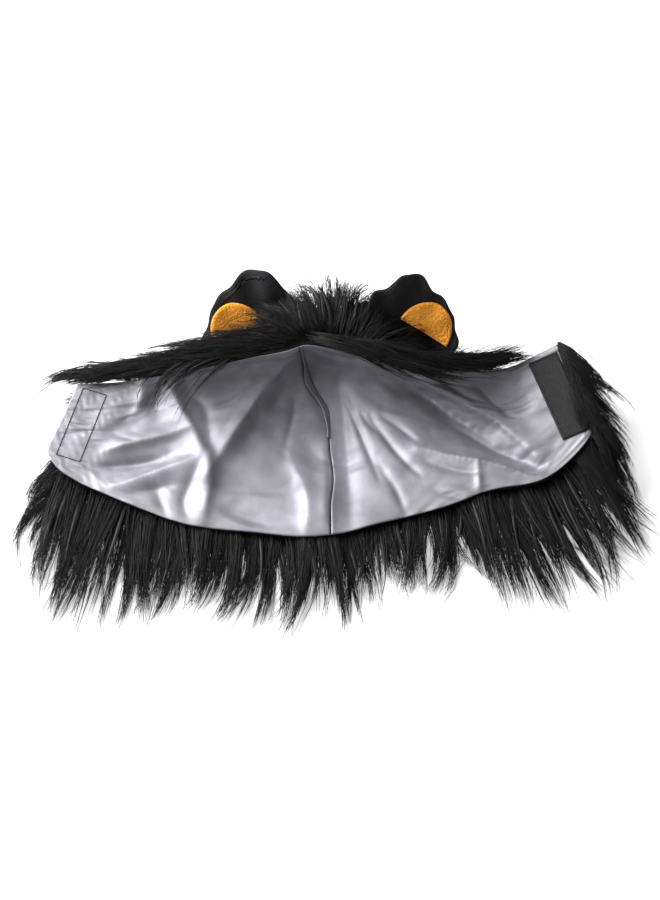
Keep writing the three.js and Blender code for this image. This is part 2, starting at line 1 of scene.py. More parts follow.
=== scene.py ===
# A pet lion mane wig: a hood of long black fur with a grey satin lining, two fleece ears and a strip of
# hook and loop tape at each end. It lies open on a table with its lining up, its neck edge nearest.
import math
import bpy
import numpy as np
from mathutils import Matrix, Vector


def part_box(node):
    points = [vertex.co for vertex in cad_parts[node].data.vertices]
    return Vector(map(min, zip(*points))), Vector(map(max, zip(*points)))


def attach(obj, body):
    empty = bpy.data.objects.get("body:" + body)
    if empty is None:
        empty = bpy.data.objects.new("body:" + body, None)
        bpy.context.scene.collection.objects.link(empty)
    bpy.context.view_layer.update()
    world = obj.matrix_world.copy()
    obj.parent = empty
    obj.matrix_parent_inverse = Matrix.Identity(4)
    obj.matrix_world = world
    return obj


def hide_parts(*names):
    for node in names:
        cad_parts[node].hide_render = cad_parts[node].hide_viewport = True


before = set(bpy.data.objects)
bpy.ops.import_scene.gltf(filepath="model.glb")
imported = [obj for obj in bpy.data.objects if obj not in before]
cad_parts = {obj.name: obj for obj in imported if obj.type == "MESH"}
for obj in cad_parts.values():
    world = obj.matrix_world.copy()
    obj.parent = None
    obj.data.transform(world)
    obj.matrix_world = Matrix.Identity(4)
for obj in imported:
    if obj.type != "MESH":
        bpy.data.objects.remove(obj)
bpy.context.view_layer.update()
MM = 0.001

# Satin lining
# Two cut panels of thin grey satin, joined at the centre seam, make the hood's inside. Each is sewn to
# the fur cloth round its edges only, so that it lies in soft folds.
HALF_SPAN = 221 * MM  # centre seam to an end of the hood
DEPTH = 145 * MM  # neck edge to front edge on the centre seam
CROWN_HEIGHT = 70 * MM
CLEARANCE = 0.3 * MM
SATIN_THICKNESS = 0.7 * MM
LINING_THICKNESS = 1.2 * MM
LAYER_GAP = 0.4 * MM
BACKING_THICKNESS = 2 * MM
PANEL_COLUMNS = 150
PANEL_ROWS = 110

# Sections across the hood, left to right: neck and front are x, y, z as shares of HALF_SPAN, DEPTH and
# CROWN_HEIGHT. sag is how far the cloth hangs below the line between them, bulge how far it swells back.
SECTION_COLUMNS = ("neck", "front", "sag", "bulge")
SECTIONS = [dict(zip(SECTION_COLUMNS, row)) for row in [
    ((-1.0, -0.04, 0.29), (-0.89, 0.41, 0.46), 0.03, 0.0),
    ((-0.835, -0.2, 0.26), (-0.73, 0.425, 0.5), 0.08, 0.03),
    ((-0.64, -0.34, 0.23), (-0.57, 0.425, 0.6), 0.14, 0.1),
    ((-0.445, -0.45, 0.215), (-0.385, 0.44, 0.745), 0.22, 0.2),
    ((-0.23, -0.49, 0.215), (-0.215, 0.465, 0.885), 0.37, 0.27),
    ((0.0, -0.525, 0.23), (-0.045, 0.475, 1.0), 0.55, 0.3),
    ((0.225, -0.44, 0.245), (0.12, 0.45, 0.945), 0.42, 0.28),
    ((0.435, -0.35, 0.26), (0.285, 0.435, 0.83), 0.31, 0.22),
    ((0.62, -0.24, 0.285), (0.45, 0.445, 0.685), 0.23, 0.14),
    ((0.815, -0.17, 0.315), (0.655, 0.5, 0.5), 0.13, 0.05),
    ((1.02, 0.1, 0.46), (0.9, 0.632, 0.67), 0.04, 0.0),
]]
# Folds of the lining: each runs through places (across, up), shares from left end to right end and from
# neck edge to front edge. left and right are its two flanks' widths seen along its run, in mm, and high
# its height in mm, negative for a crease.
FOLD_COLUMNS = ("left", "right", "high", "run")
FOLDS = [dict(zip(FOLD_COLUMNS, row)) for row in [
    (22, 8, -9, [(0.49, 0.98), (0.492, 0.86), (0.503, 0.73)]),
    (12, 6, -3.5, [(0.5, 0.72), (0.53, 0.5), (0.525, 0.3), (0.522, 0.1)]),
    (3, 4, -3, [(0.36, 0.9), (0.43, 0.905), (0.5, 0.9), (0.58, 0.88)]),
    (12, 8, 6.5, [(0.528, 0.46), (0.522, 0.26), (0.512, 0.0)]),
    (10, 18, -6, [(0.555, 0.75), (0.557, 0.4), (0.55, 0.0)]),
    (4, 3, 5, [(0.38, 0.955), (0.49, 0.96), (0.58, 0.95)]),
    (10, 38, 13, [(0.45, 0.88), (0.405, 0.68), (0.37, 0.52), (0.342, 0.4), (0.318, 0.3)]),
    (7, 5, -2, [(0.42, 0.92), (0.385, 0.72), (0.352, 0.56), (0.33, 0.44)]),
    (7, 13, 7, [(0.318, 0.33), (0.32, 0.21), (0.315, 0.02)]),
    (10, 7, -5, [(0.305, 0.34), (0.287, 0.23), (0.278, 0.14), (0.295, 0.0)]),
    (9, 6, 6.5, [(0.312, 0.33), (0.288, 0.43), (0.25, 0.62), (0.225, 0.8)]),
    (6, 7, -3.5, [(0.322, 0.36), (0.308, 0.46), (0.295, 0.6), (0.262, 0.75), (0.238, 0.9)]),
    (16, 7, 7, [(0.085, 0.26), (0.13, 0.36), (0.18, 0.43), (0.24, 0.48), (0.3, 0.5)]),
    (6, 9, -6, [(0.1, 0.18), (0.145, 0.26), (0.195, 0.32), (0.235, 0.36)]),
    (6, 10, 6, [(0.15, 0.08), (0.2, 0.21), (0.255, 0.3), (0.31, 0.34)]),
    (5, 6, -3, [(0.19, 0.1), (0.23, 0.17), (0.272, 0.22)]),
    (5, 7, -3, [(0.225, 0.16), (0.24, 0.08), (0.255, 0.0)]),
    (12, 12, -4, [(0.205, 0.6), (0.19, 0.76), (0.2, 0.92)]),
    (8, 10, 3.5, [(0.15, 0.6), (0.16, 0.8), (0.15, 0.95)]),
    (2.5, 2.5, 2.5, [(0.07, 0.17), (0.074, 0.09), (0.078, 0.0)]),
    (2.5, 2.5, 2.8, [(0.078, 0.17), (0.09, 0.09), (0.103, 0.0)]),
    (2.5, 3, 2.8, [(0.09, 0.17), (0.11, 0.09), (0.13, 0.0)]),
    (18, 7, 7, [(0.46, 0.36), (0.485, 0.18), (0.483, 0.0)]),
    (7, 9, -3, [(0.36, 0.1), (0.4, 0.06), (0.44, 0.02)]),
    (3, 4, -2.6, [(0.47, 0.62), (0.462, 0.52), (0.45, 0.42)]),
    (4, 3, -3.6, [(0.568, 0.62), (0.588, 0.45), (0.608, 0.24)]),
    (2.5, 2.5, -2.2, [(0.593, 0.56), (0.605, 0.5), (0.618, 0.46)]),
    (4, 3.5, -4, [(0.612, 0.52), (0.647, 0.36), (0.682, 0.22)]),
    (3, 3, -2.8, [(0.635, 0.53), (0.665, 0.47), (0.69, 0.4)]),
    (4, 4, -3.4, [(0.613, 0.3), (0.635, 0.16), (0.642, 0.0)]),
    (26, 4, 7.5, [(0.7, 0.92), (0.758, 0.74), (0.815, 0.62), (0.87, 0.46), (0.91, 0.16)]),
    (9, 16, -8, [(0.62, 0.88), (0.7, 0.74), (0.775, 0.58), (0.84, 0.4), (0.9, 0.12)]),
    (5, 13, -5, [(0.775, 0.5), (0.835, 0.36), (0.88, 0.24), (0.905, 0.12)]),
    (5, 5, 4, [(0.69, 0.36), (0.76, 0.27), (0.835, 0.17), (0.905, 0.01)]),
    (4, 5, -4, [(0.7, 0.29), (0.75, 0.21), (0.79, 0.15)]),
    (4, 4, 4, [(0.797, 0.22), (0.786, 0.1), (0.777, 0.0)]),
    (5, 5, -3, [(0.7, 0.12), (0.73, 0.05), (0.75, 0.0)]),
    (6, 5, -3.5, [(0.78, 0.86), (0.81, 0.74), (0.835, 0.66)]),
    (6, 6, -4, [(0.855, 0.86), (0.872, 0.7), (0.89, 0.56)]),
]]
FOLD_BLEND = 3 * MM  # over which two pieces of a fold's run pass into each other
FOLD_STEPS = 21
LEFT_CORNER = dict(width=0.055, rise=0.17)
RIGHT_CORNER = dict(width=0.04, rise=0.1)


def round_corners(across, up):
    """Draws the cloth's edge up at its two neck corners, which are cut round."""
    lowest = 0
    for corner, away in ((LEFT_CORNER, across), (RIGHT_CORNER, 1 - across)):
        near = np.clip(1 - away / corner["width"], 0, 1)
        lowest = lowest + corner["rise"] * (1 - np.sqrt(1 - near**2))
    return lowest + (1 - lowest) * up


def curve_through(points, share):
    """Places on a smooth curve through points, given as shares of its run."""
    last = len(points) - 1
    points = np.vstack([2 * points[0] - points[1], points, 2 * points[-1] - points[-2]])
    place = np.clip(share, 0, 1) * last
    start = np.minimum(place.astype(int), last - 1)
    t = (place - start)[:, None]
    before, a, b, after = (points[start + k] for k in range(4))
    gap = [np.sqrt(np.linalg.norm(q - p, axis=1))[:, None] for p, q in ((before, a), (a, b), (b, after))]
    leave = ((a - before) / gap[0] - (b - before) / (gap[0] + gap[1]) + (b - a) / gap[1]) * gap[1]
    arrive = ((b - a) / gap[1] - (after - a) / (gap[1] + gap[2]) + (after - b) / gap[2]) * gap[1]
    curve = a + leave * t + (3 * (b - a) - 2 * leave - arrive) * t**2
    return curve + (2 * (a - b) + leave + arrive) * t**3


def smooth_step(value, low, high):
    t = np.clip((value - low) / (high - low), 0, 1)
    return t * t * (3 - 2 * t)


hood_size = np.array([HALF_SPAN, DEPTH, CROWN_HEIGHT])
# the centre seam wanders a little: its place across the hood, from neck edge to front edge
SEAM_RUN = [0.52, 0.524, 0.532, 0.529, 0.531, 0.503, 0.489, 0.486]
neck_edge = np.array([section["neck"] for section in SECTIONS]) * hood_size
front_edge = np.array([section["front"] for section in SECTIONS]) * hood_size
slack = np.array([(s["sag"] * CROWN_HEIGHT, s["bulge"] * DEPTH, 0) for s in SECTIONS])
hood_place = np.zeros(3)


def bowl(across, up):
    """The hood's inside without folds, deepest near the front edge."""
    neck = curve_through(neck_edge, across)
    front = curve_through(front_edge, across)
    sag, bulge, _ = curve_through(slack, across).T
    point = hood_place + neck + (front - neck) * up[:, None]
    point[:, 2] -= sag * np.sin(np.pi * np.clip(up, 0, 1) ** 1.4)
    point[:, 1] += bulge * up**2 * (1 - up) * 27 / 4
    return point


def fold_height(across, up):
    """Height that all folds add, in metres."""
    sheet_size = np.array([2 * HALF_SPAN, DEPTH])
    place = np.stack([across, up], axis=1) * sheet_size
    height = np.zeros(len(across))
    for fold in FOLDS:
        run = curve_through(np.array(fold["run"]) * sheet_size, np.linspace(0, 1, FOLD_STEPS))
        step = np.diff(run, axis=0)[:, None]
        away = place[None] - run[:-1, None]
        share = np.clip((away * step).sum(axis=2) / (step**2).sum(axis=2), 0, 1)
        distance = np.linalg.norm(away - share[..., None] * step, axis=2)
        side = (step[..., 0] * away[..., 1] - step[..., 1] * away[..., 0]) / np.maximum(
            np.linalg.norm(step, axis=2) * np.linalg.norm(away, axis=2), 1e-9)
        to_left = np.clip(0.5 + side, 0, 1)
        width = (fold["left"] * to_left + fold["right"] * (1 - to_left)) * MM
        along = (np.arange(len(step))[:, None] + share) / len(step)
        fade = 0.35 + 0.65 * np.sin(np.pi * np.clip(along, 0.04, 0.96))
        flank = fade / (1 + (distance / width) ** 2) ** 1.5
        weight = np.exp((distance.min(axis=0) - distance) / FOLD_BLEND)
        height += fold["high"] * MM * (flank * weight).sum(axis=0) / weight.sum(axis=0)
    return height


HOOK_TAPE = dict(width=25 * MM, length=74 * MM, thickness=1.8 * MM, end_inset=1.5 * MM, front_inset=5 * MM,
                 pucker=0.0)
LOOP_TAPE = dict(width=20 * MM, length=62 * MM, thickness=1.8 * MM, end_inset=11 * MM, front_inset=8 * MM,
                 pucker=0.22 * MM)
TAPE_HOLD = 6 * MM  # cloth beside a stiff tape that it still holds flat
TAPE_EASE = 22 * MM
GATHER_PITCH = 8 * MM  # between the small puckers that the loop tape's seam draws into the satin
EDGE_FOLD = 0.45  # share of a fold's height that is left at the neck edge and the front edge


def tape_place(tape, end):
    """Middle and directions of a tape sewn beside the hood's end."""
    inwards = -1 if end == 1 else 1
    across = end + inwards * (tape["end_inset"] + tape["width"] / 2) / (2 * HALF_SPAN)
    low, high, beside = bowl(np.array([across, across, across]), np.array([0, 1, 0.5]))
    long = (high - low) / np.linalg.norm(high - low)
    wide = (bowl(np.array([end]), np.array([0.5]))[0] - beside) * -inwards
    wide -= wide @ long * long
    wide /= np.linalg.norm(wide)
    centre = high - long * (tape["front_inset"] + tape["length"] / 2)
    return dict(tape, centre=centre, long=long, wide=wide, normal=np.cross(wide, long))


# the hook tape's solid gives the hood's place
hook_place = tape_place(HOOK_TAPE, 1)
hook_lift = CLEARANCE + HOOK_TAPE["thickness"] / 2
hood_place = np.mean(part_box("hook_strip"), axis=0) - hook_place["centre"] - hook_place["normal"] * hook_lift
tape_places = [tape_place(HOOK_TAPE, 1), tape_place(LOOP_TAPE, 0)]


def cloth(across, up):
    """The satin as it lies: flat along the tapes and folded elsewhere."""
    point = bowl(across, up)
    inside = np.minimum(1, 6 * np.minimum(up, 1 - up) + EDGE_FOLD)
    point += (inside * fold_height(across, up))[:, None] * cloth_frame(bowl, across, up)[2]
    for place in tape_places:
        away = point - place["centre"]
        beyond = np.maximum(
            np.abs(away @ place["wide"]) - place["width"] / 2,
            np.abs(away @ place["long"]) - place["length"] / 2,
        )
        held = 1 - smooth_step(beyond, TAPE_HOLD, TAPE_HOLD + TAPE_EASE)
        gathers = (away @ place["long"] + 0.5 * (away @ place["wide"])) / GATHER_PITCH
        breaks = (0.4 * (away @ place["long"]) - away @ place["wide"]) / GATHER_PITCH
        pucker = np.sin(2 * np.pi * gathers + 2 * np.sin(2.3 * breaks))
        pucker *= 0.55 + 0.45 * np.sin(4.1 * breaks + gathers)
        pucker *= place["pucker"] * held
        point += (pucker - (away @ place["normal"]) * held)[:, None] * place["normal"]
    return point


def unit(vectors):
    return vectors / np.maximum(np.linalg.norm(vectors, axis=-1, keepdims=True), 1e-12)


def cloth_frame(surface, across, up):
    """Unit vectors of a surface at each place: to the right end, to the front edge, and upwards."""
    STEP = 0.004
    a = np.clip(across, STEP, 1 - STEP)
    b = np.clip(up, STEP, 1 - STEP)
    right = unit(surface(a + STEP, b) - surface(a - STEP, b))
    normal = unit(np.cross(right, surface(a, b + STEP) - surface(a, b - STEP)))
    return right, np.cross(normal, right), normal


def under_cloth(across, up, distance):
    distance = np.broadcast_to(np.asarray(distance, float), across.shape)
    return cloth(across, up) - cloth_frame(bowl, across, up)[2] * distance[:, None]


def mesh_object(name, points, faces, uv=None, tint=None):
    """A smooth mesh object from arrays. faces is a list of arrays, one for each number of corners."""
    mesh = bpy.data.meshes.new(name)
    mesh.vertices.add(len(points))
    mesh.vertices.foreach_set("co", np.asarray(points, np.float32).ravel())
    sizes = np.concatenate([np.full(len(group), group.shape[1]) for group in faces]).astype(np.int32)
    corners = np.concatenate([group.ravel() for group in faces]).astype(np.int32)
    mesh.loops.add(len(corners))
    mesh.loops.foreach_set("vertex_index", corners)
    mesh.polygons.add(len(sizes))
    mesh.polygons.foreach_set("loop_start", np.concatenate([[0], np.cumsum(sizes)[:-1]]).astype(np.int32))
    mesh.polygons.foreach_set("use_smooth", np.ones(len(sizes), bool))
    if uv is not None:
        layer = mesh.uv_layers.new(name="cloth")
        layer.data.foreach_set("uv", np.asarray(uv, np.float32)[corners].ravel())
    if tint is not None:
        layer = mesh.attributes.new("tint", "FLOAT", "POINT")
        layer.data.foreach_set("value", np.asarray(tint, np.float32))
    mesh.update(calc_edges=True)
    mesh.validate()
    piece = bpy.data.objects.new(name, mesh)
    bpy.context.scene.collection.objects.link(piece)
    return piece


def grid(columns, rows, across=(0, 1), up=(0, 1)):
    """Places of a grid's points, column after column."""
    a, b = np.meshgrid(np.linspace(*across, columns), np.linspace(*up, rows), indexing="ij")
    return a.ravel(), b.ravel()


def grid_faces(columns, rows):
    i, j = np.meshgrid(np.arange(columns - 1), np.arange(rows - 1), indexing="ij")
    first = (i * rows + j).ravel()
    return np.stack([first, first + rows, first + rows + 1, first + 1], axis=1)


def select_only(piece):
    bpy.ops.object.select_all(action="DESELECT")
    piece.select_set(True)
    bpy.context.view_layer.objects.active = piece


def apply_modifier(piece, kind, **settings):
    select_only(piece)
    modifier = piece.modifiers.new(kind.title(), kind)
    for key, value in settings.items():
        setattr(modifier, key, value)
    bpy.ops.object.modifier_apply(modifier=modifier.name)


def new_material(name):
    material = bpy.data.materials.new(name)
    material.use_nodes = True
    return material, material.node_tree.nodes["Principled BSDF"]


def set_inputs(material, node, inputs):
    """Sets a shader node's inputs to values, and links those that are given another node's output."""
    for name, value in inputs.items():
        if isinstance(value, bpy.types.NodeSocket):
            material.node_tree.links.new(value, node.inputs[name])
        else:
            node.inputs[name].default_value = value


def add_node(material, kind, inputs):
    node = material.node_tree.nodes.new("ShaderNode" + kind)
    set_inputs(material, node, inputs)
    return node


def add_ramp(material, source, low, high):
    """Turns a source into a colour between two, each given after its place on the ramp."""
    ramp = add_node(material, "ValToRGB", {"Fac": source})
    for element, (place, colour) in zip(ramp.color_ramp.elements, (low, high)):
        element.position = place
        element.color = (*colour, 1)
    return ramp.outputs["Color"]


satin, shader = new_material("grey_satin")
uv_map = add_node(satin, "UVMap", {})
uv_map.uv_map = "cloth"
flat_place = uv_map.outputs["UV"]
yarns = add_node(satin, "Mapping", {"Scale": (180, 1500, 1), "Vector": flat_place})
slubs = add_node(satin, "TexNoise", {"Scale": 1, "Detail": 3, "Vector": yarns.outputs["Vector"]})
ripple = add_node(satin, "TexNoise", {"Scale": 75, "Detail": 4, "Vector": flat_place})
# the satin's colour follows the same ripple noise as its wave bump: painted shade, darker in the ripples'
# hollows and lighter on their crests
base_colour = add_ramp(satin, ripple.outputs["Fac"], (0.3, (0.26, 0.256, 0.288)), (0.75, (0.35, 0.345, 0.385)))
polish = add_node(satin, "MapRange", {"To Min": 0.49, "To Max": 0.6, "Value": slubs.outputs["Fac"]})
drape = add_node(satin, "Mapping", {"Rotation": (0, 0, 0.5), "Scale": (17, 34, 1), "Vector": flat_place})
creases = add_node(satin, "TexNoise", {
    "Scale": 1, "Detail": 1, "Distortion": 1.1, "Vector": drape.outputs["Vector"]})
crease_bump = add_node(satin, "Bump", {
    "Strength": 0.5, "Distance": 9 * MM, "Height": creases.outputs["Fac"]})
wave_bump = add_node(satin, "Bump", {
    "Strength": 0.4, "Distance": 0.8 * MM, "Height": ripple.outputs["Fac"],
    "Normal": crease_bump.outputs["Normal"]})
yarn_bump = add_node(satin, "Bump", {
    "Strength": 0.4, "Distance": 0.08 * MM, "Height": slubs.outputs["Fac"],
    "Normal": wave_bump.outputs["Normal"]})
set_inputs(satin, shader, {
    "Metallic": 0.5, "Specular IOR Level": 0.5, "Base Color": base_colour,
    "Roughness": polish.outputs["Result"], "Normal": yarn_bump.outputs["Normal"]})


def seam_across(up):
    seam = np.array(SEAM_RUN)[:, None] * [1, 0, 0]
    return curve_through(seam, up)[:, 0]


SEAM_SHARE = 0.35 * MM / (2 * HALF_SPAN)
SATIN_PANELS = [
    dict(name="satin_left", node="lining_left", side=-1),
    dict(name="satin_right", node="lining_right", side=1),
]
for panel in SATIN_PANELS:
    a, b = grid(PANEL_COLUMNS, PANEL_ROWS)
    edge = seam_across(b) + panel["side"] * SEAM_SHARE
    a = edge * a if panel["side"] < 0 else edge + (1 - edge) * a
    b = round_corners(a, b)
    flat = np.stack([a * 2 * HALF_SPAN, b * DEPTH], axis=1)
    piece = mesh_object(panel["name"], cloth(a, b), [grid_faces(PANEL_COLUMNS, PANEL_ROWS)], uv=flat)
    apply_modifier(piece, "SOLIDIFY", thickness=SATIN_THICKNESS, offset=-1)
    piece.data.materials.append(satin)
    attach(piece, "root")
    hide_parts(panel["node"])

# Camera
# It looks from the neck side, 55 degrees above the table, at the middle of the hood.
VIEW_ELEVATION = math.radians(55)
VIEW_DISTANCE = 1.4
VIEW_OFFSET = np.array([9.3, 0, 25]) * MM
view_target = hood_place + VIEW_OFFSET
camera_data = bpy.data.cameras.new("camera")
camera_data.lens = 70
camera_data.sensor_fit = "VERTICAL"
camera_data.sensor_height = 36
camera = bpy.data.objects.new("camera", camera_data)
bpy.context.scene.collection.objects.link(camera)
camera.location = view_target + VIEW_DISTANCE * np.array(
    [0, -math.cos(VIEW_ELEVATION), math.sin(VIEW_ELEVATION)])
camera.rotation_euler = (math.pi / 2 - VIEW_ELEVATION, 0, 0)
bpy.context.scene.camera = camera

# Centre seam welt
# The seam allowance of the two satin halves, turned up in a soft wavy ridge that leans to the left.
WELT_HEIGHT = 3.6 * MM
WELT_THICKNESS = 0.9 * MM
WELT_COLUMNS = 90
WELT_ROWS = 9
WELT_RUN = (0.46, 0.93)
up = np.repeat(np.linspace(*WELT_RUN, WELT_COLUMNS), WELT_ROWS)
share = np.tile(np.linspace(0, 1, WELT_ROWS), WELT_COLUMNS)
right, _, normal = cloth_frame(cloth, seam_across(up), up)
swell = 0.3 + 0.7 * np.sin(np.pi * (up - 0.44) / 0.52)
sway = share * (1.2 * np.sin(up * 5 * np.pi) + 0.5 * np.sin(up * 41) - 4.2) * MM * (0.5 + 0.5 * swell)
height = 0.6 * MM + share * WELT_HEIGHT * swell
middle = cloth(seam_across(up), up) + normal * height[:, None] + right * sway[:, None]
welt = mesh_object("seam_ridge", middle, [grid_faces(WELT_COLUMNS, WELT_ROWS)],
                   uv=np.stack([share * WELT_HEIGHT, up * DEPTH], axis=1))
apply_modifier(welt, "SOLIDIFY", thickness=WELT_THICKNESS, offset=0)
welt.data.materials.append(satin)
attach(welt, "root")
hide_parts("seam_welt")

# Satin facing
# Satin turned under the left end, where the fur cloth stops short. The loop tape is sewn to it.
FACING_WIDTH = 42 * MM
FACING_THICKNESS = 0.8 * MM
FACING_COLUMNS = 40
FACING_ROWS = 70
under_lining = LINING_THICKNESS + LAYER_GAP
facing_share = FACING_WIDTH / (2 * HALF_SPAN)
a, b = grid(FACING_COLUMNS, FACING_ROWS, (0, facing_share))
b = round_corners(a, b)
flat = np.stack([a * 2 * HALF_SPAN, b * DEPTH], axis=1)
facing = mesh_object("satin_facing", under_cloth(a, b, under_lining),
                     [grid_faces(FACING_COLUMNS, FACING_ROWS)], uv=flat)
apply_modifier(facing, "SOLIDIFY", thickness=FACING_THICKNESS, offset=-1)
facing.data.materials.append(satin)
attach(facing, "root")
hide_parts("tab_facing")

# Fur
# Long straight pile on a knitted ground. The locks lie in rows, most of them combed towards the neck
# edge, and those along the front edge sweep outwards from a parting over the centre seam.
STRAND_RINGS = 5
STRAND_SIDES = 3
STRAND_RADIUS = 0.33 * MM
LOCK_SIDES = 6
LOCK_RINGS = 9
LOCK_REACH = 0.6
LOCK_GIRTH = 0.19  # a lock's inner body, as a share of its row's width and thickness
LOCK_FLUTE = 0.16
FULL_FAN = 1.15
GATHER = 0.9  # share of the way that strands gather into wisps, and that stray ones do
STRAY_GATHER = 0.2
WISPS = 7
PATH_STEPS = 20
# Rows: roots run between two places (across, up) of the hood, out past its edge and below the cloth in
# mm, with out the heading of past. start and tip are headings in degrees, 0 towards the neck edge and
# positive to the right, tousle their scatter, and rise and fall the climbs at root and tip. Lists are
# spread along the row.
# length, wave, width and thick are in mm, stray is the share of flyaway strands, root is how far strands
# fan out at their roots, as a share of width, and over is true for hair that lies on the satin.
COMBED = dict(past=0, out=0, root=FULL_FAN, over=False)
DRAPED = dict(past=5, out=180, root=0.5, over=True)
FUR_ROWS = [
    dict(COMBED, name="neck", locks=116, strands=48, run=[(0.05, 0.1), (0.975, 0.1)], depth=(5, 9),
         start=[-16, -6, -2, 0, 2, 4, 6, 8, 14, 22, 38],
         tip=[-6, -2, -8, -26, -40, -16, 14, -30, 24, 34, 22], tousle=16, wave=3, stray=0.06,
         rise=[-4], fall=[-7], length=[128, 136, 116, 94, 114, 112, 70, 92, 130, 144, 120], width=11,
         thick=8),
    dict(COMBED, name="neck_under", locks=54, strands=30, run=[(0.1, 0.26), (0.95, 0.26)], depth=(7, 9),
         start=[-10, -4, 4, 4, 12, 26, 36], tip=[-8, -4, -36, -26, 4, 30, 34], tousle=18, wave=4,
         stray=0.06, rise=[-5], fall=[-2], length=[130, 142, 110, 136, 90, 140, 140], width=11, thick=5),
    dict(COMBED, name="wisps", locks=60, strands=9, run=[(0.04, 0.08), (0.97, 0.08)], depth=(5, 9),
         root=0.6, start=[-20, -4, -2, 4, 4, 8, 10, 16, 30], tip=[10, 4, -20, -44, -50, 20, -46, 36, 40],
         tousle=24, wave=6, stray=0.4, rise=[-3], fall=[-5],
         length=[136, 144, 124, 110, 122, 90, 112, 148, 142], width=12, thick=7),
    dict(COMBED, name="left_end", locks=24, strands=36, run=[(0.1, 0.04), (0.115, 0.6)], depth=(8, 10),
         start=[-44, -66, -84], tip=[34, 34, 26], tousle=16, wave=4, stray=0.1, rise=[-12], fall=[-10],
         length=[124, 116, 92], width=10, thick=4),
    dict(COMBED, name="right_end", locks=38, strands=46, run=[(0.955, 0.06), (0.965, 0.97)], depth=(4, 7),
         start=[34, 48, 64], tip=[16, 12, 18], tousle=22, wave=4, stray=0.1, rise=[-2, 4], fall=[-30],
         length=[116, 108, 94], width=11, thick=7),
    dict(DRAPED, name="right_edge", locks=40, strands=40, run=[(0.995, 0.1), (0.995, 1.0)], past=0, out=70,
         depth=(-3, 1), root=0.6, start=[34, 20, 22, 50], tip=[12, 6, 10, 24], tousle=18, wave=3, stray=0.1,
         rise=[6, 10], fall=[-34], length=[60, 56, 60], width=10, thick=6),
    dict(DRAPED, name="front_left", locks=56, strands=50, run=[(0.51, 1.0), (0.115, 1.0)],
         depth=(-1, 4), start=[-95, -90, -88, -92], tip=[-78, -82, -86, -88], tousle=9, wave=3.5,
         stray=0.12, rise=[5, 2, 2, 4], fall=[-20, -15, -26], length=[92, 100, 96], width=9, thick=6),
    dict(DRAPED, name="front_right", locks=46, strands=52, run=[(0.5, 1.0), (0.86, 1.0)], past=4,
         depth=(-1, 4), start=[66, 60, 70, 84, 96], tip=[84, 96, 96, 104, 112], tousle=11,
         wave=3.5, stray=0.12, rise=[20, 14, 10, 8], fall=[-40, -26, -10, -6], length=[98, 90, 64],
         width=11, thick=8),
    dict(COMBED, name="crown", locks=16, strands=40, run=[(0.16, 0.9), (0.84, 0.9)], out=180, depth=(8, 10),
         start=[-130, -180, -230], tip=[-112, -180, -248], tousle=20, wave=4, stray=0.1, rise=[-8],
         fall=[-66], length=[58, 68, 58], width=18, thick=9),
    dict(COMBED, name="back", locks=36, strands=42, run=[(0.06, 0.8), (0.94, 0.8)], out=180, depth=(9, 11),
         start=[-118, -150, -180, -210, -242], tip=[-100, -140, -180, -220, -260], tousle=20, wave=4,
         stray=0.1, rise=[2], fall=[-58], length=[68, 76, 80, 76, 68], width=15, thick=10),
    dict(DRAPED, name="forelock", locks=66, strands=42, run=[(0.43, 1.0), (0.67, 1.0)],
         depth=(-2, 6), root=0.7, start=[-104, -124, -150, -178, -205, -232, -250],
         tip=[-84, -96, -124, -184, -236, -262, -278], tousle=24, wave=5, stray=0.12,
         rise=[0, 14, 38, 46, 38, 24, 12], fall=[-30, -40, -34, -24, -34, -44, -42],
         length=[38, 50, 68, 74, 72, 66, 58], width=11, thick=9),
    dict(DRAPED, name="flyaway", locks=18, strands=6, run=[(0.43, 1.0), (0.67, 1.0)], depth=(-2, 4),
         start=[-120, -150, -180, -210, -240], tip=[-66, -84, -180, -276, -296], tousle=30,
         wave=8, stray=0.5, rise=[20, 40, 52, 40, 20], fall=[-50], length=[62, 80, 88, 80, 66], width=12,
         thick=9),
    dict(DRAPED, name="hanging", locks=10, strands=12, run=[(0.25, 1.0), (0.37, 1.0)], depth=(0, 3),
         root=0.3, start=[-64, -50], tip=[-16, 10], tousle=20, wave=4, stray=0.3, rise=[14], fall=[-30],
         length=[72, 96], width=9, thick=3),
]

fur, shader = new_material("black_fur")
tint = add_node(fur, "Attribute", {})
tint.attribute_name = "tint"
base_colour = add_ramp(fur, tint.outputs["Fac"], (0, (0.0025, 0.0025, 0.003)), (1, (0.018, 0.017, 0.019)))
gloss = add_node(fur, "MapRange", {"To Min": 0.5, "To Max": 0.34, "Value": tint.outputs["Fac"]})
set_inputs(fur, shader, {
    "Specular IOR Level": 0.3, "Base Color": base_colour, "Roughness": gloss.outputs["Result"]})

# Height of the satin over the table in cells, for hair that lies on it or below it. Its edge cells are
# carried on outwards, so that hair passes the edge smoothly.
CELL = 2 * MM
MARGIN = 10
COVER_COLUMNS = 600
COVER_ROWS = 260


def neighbour_sum(cells):
    return sum(np.roll(cells, (i, j), (0, 1)) for i in (-1, 0, 1) for j in (-1, 0, 1))


a, b = grid(COVER_COLUMNS, COVER_ROWS)
cover = cloth(a, round_corners(a, b))
cover_low = cover[:, :2].min(axis=0) - CELL * MARGIN
cover_cells = ((cover[:, :2] - cover_low) / CELL + 0.5).astype(int)
cover_height = np.full(cover_cells.max(axis=0) + 1 + MARGIN, -1.0)
np.maximum.at(cover_height, (cover_cells[:, 0], cover_cells[:, 1]), cover[:, 2])
cover_mask = (cover_height > 0).astype(float)
for _ in range(MARGIN):
    known = (cover_height > 0).astype(float)
    total = neighbour_sum(cover_height * known)
    count = neighbour_sum(known)
    cover_height = np.where((known == 0) & (count > 0), total / np.maximum(count, 1), cover_height)
cover_height = np.maximum(cover_height, 0)
for _ in range(2):
    cover_mask = neighbour_sum(cover_mask) / 9


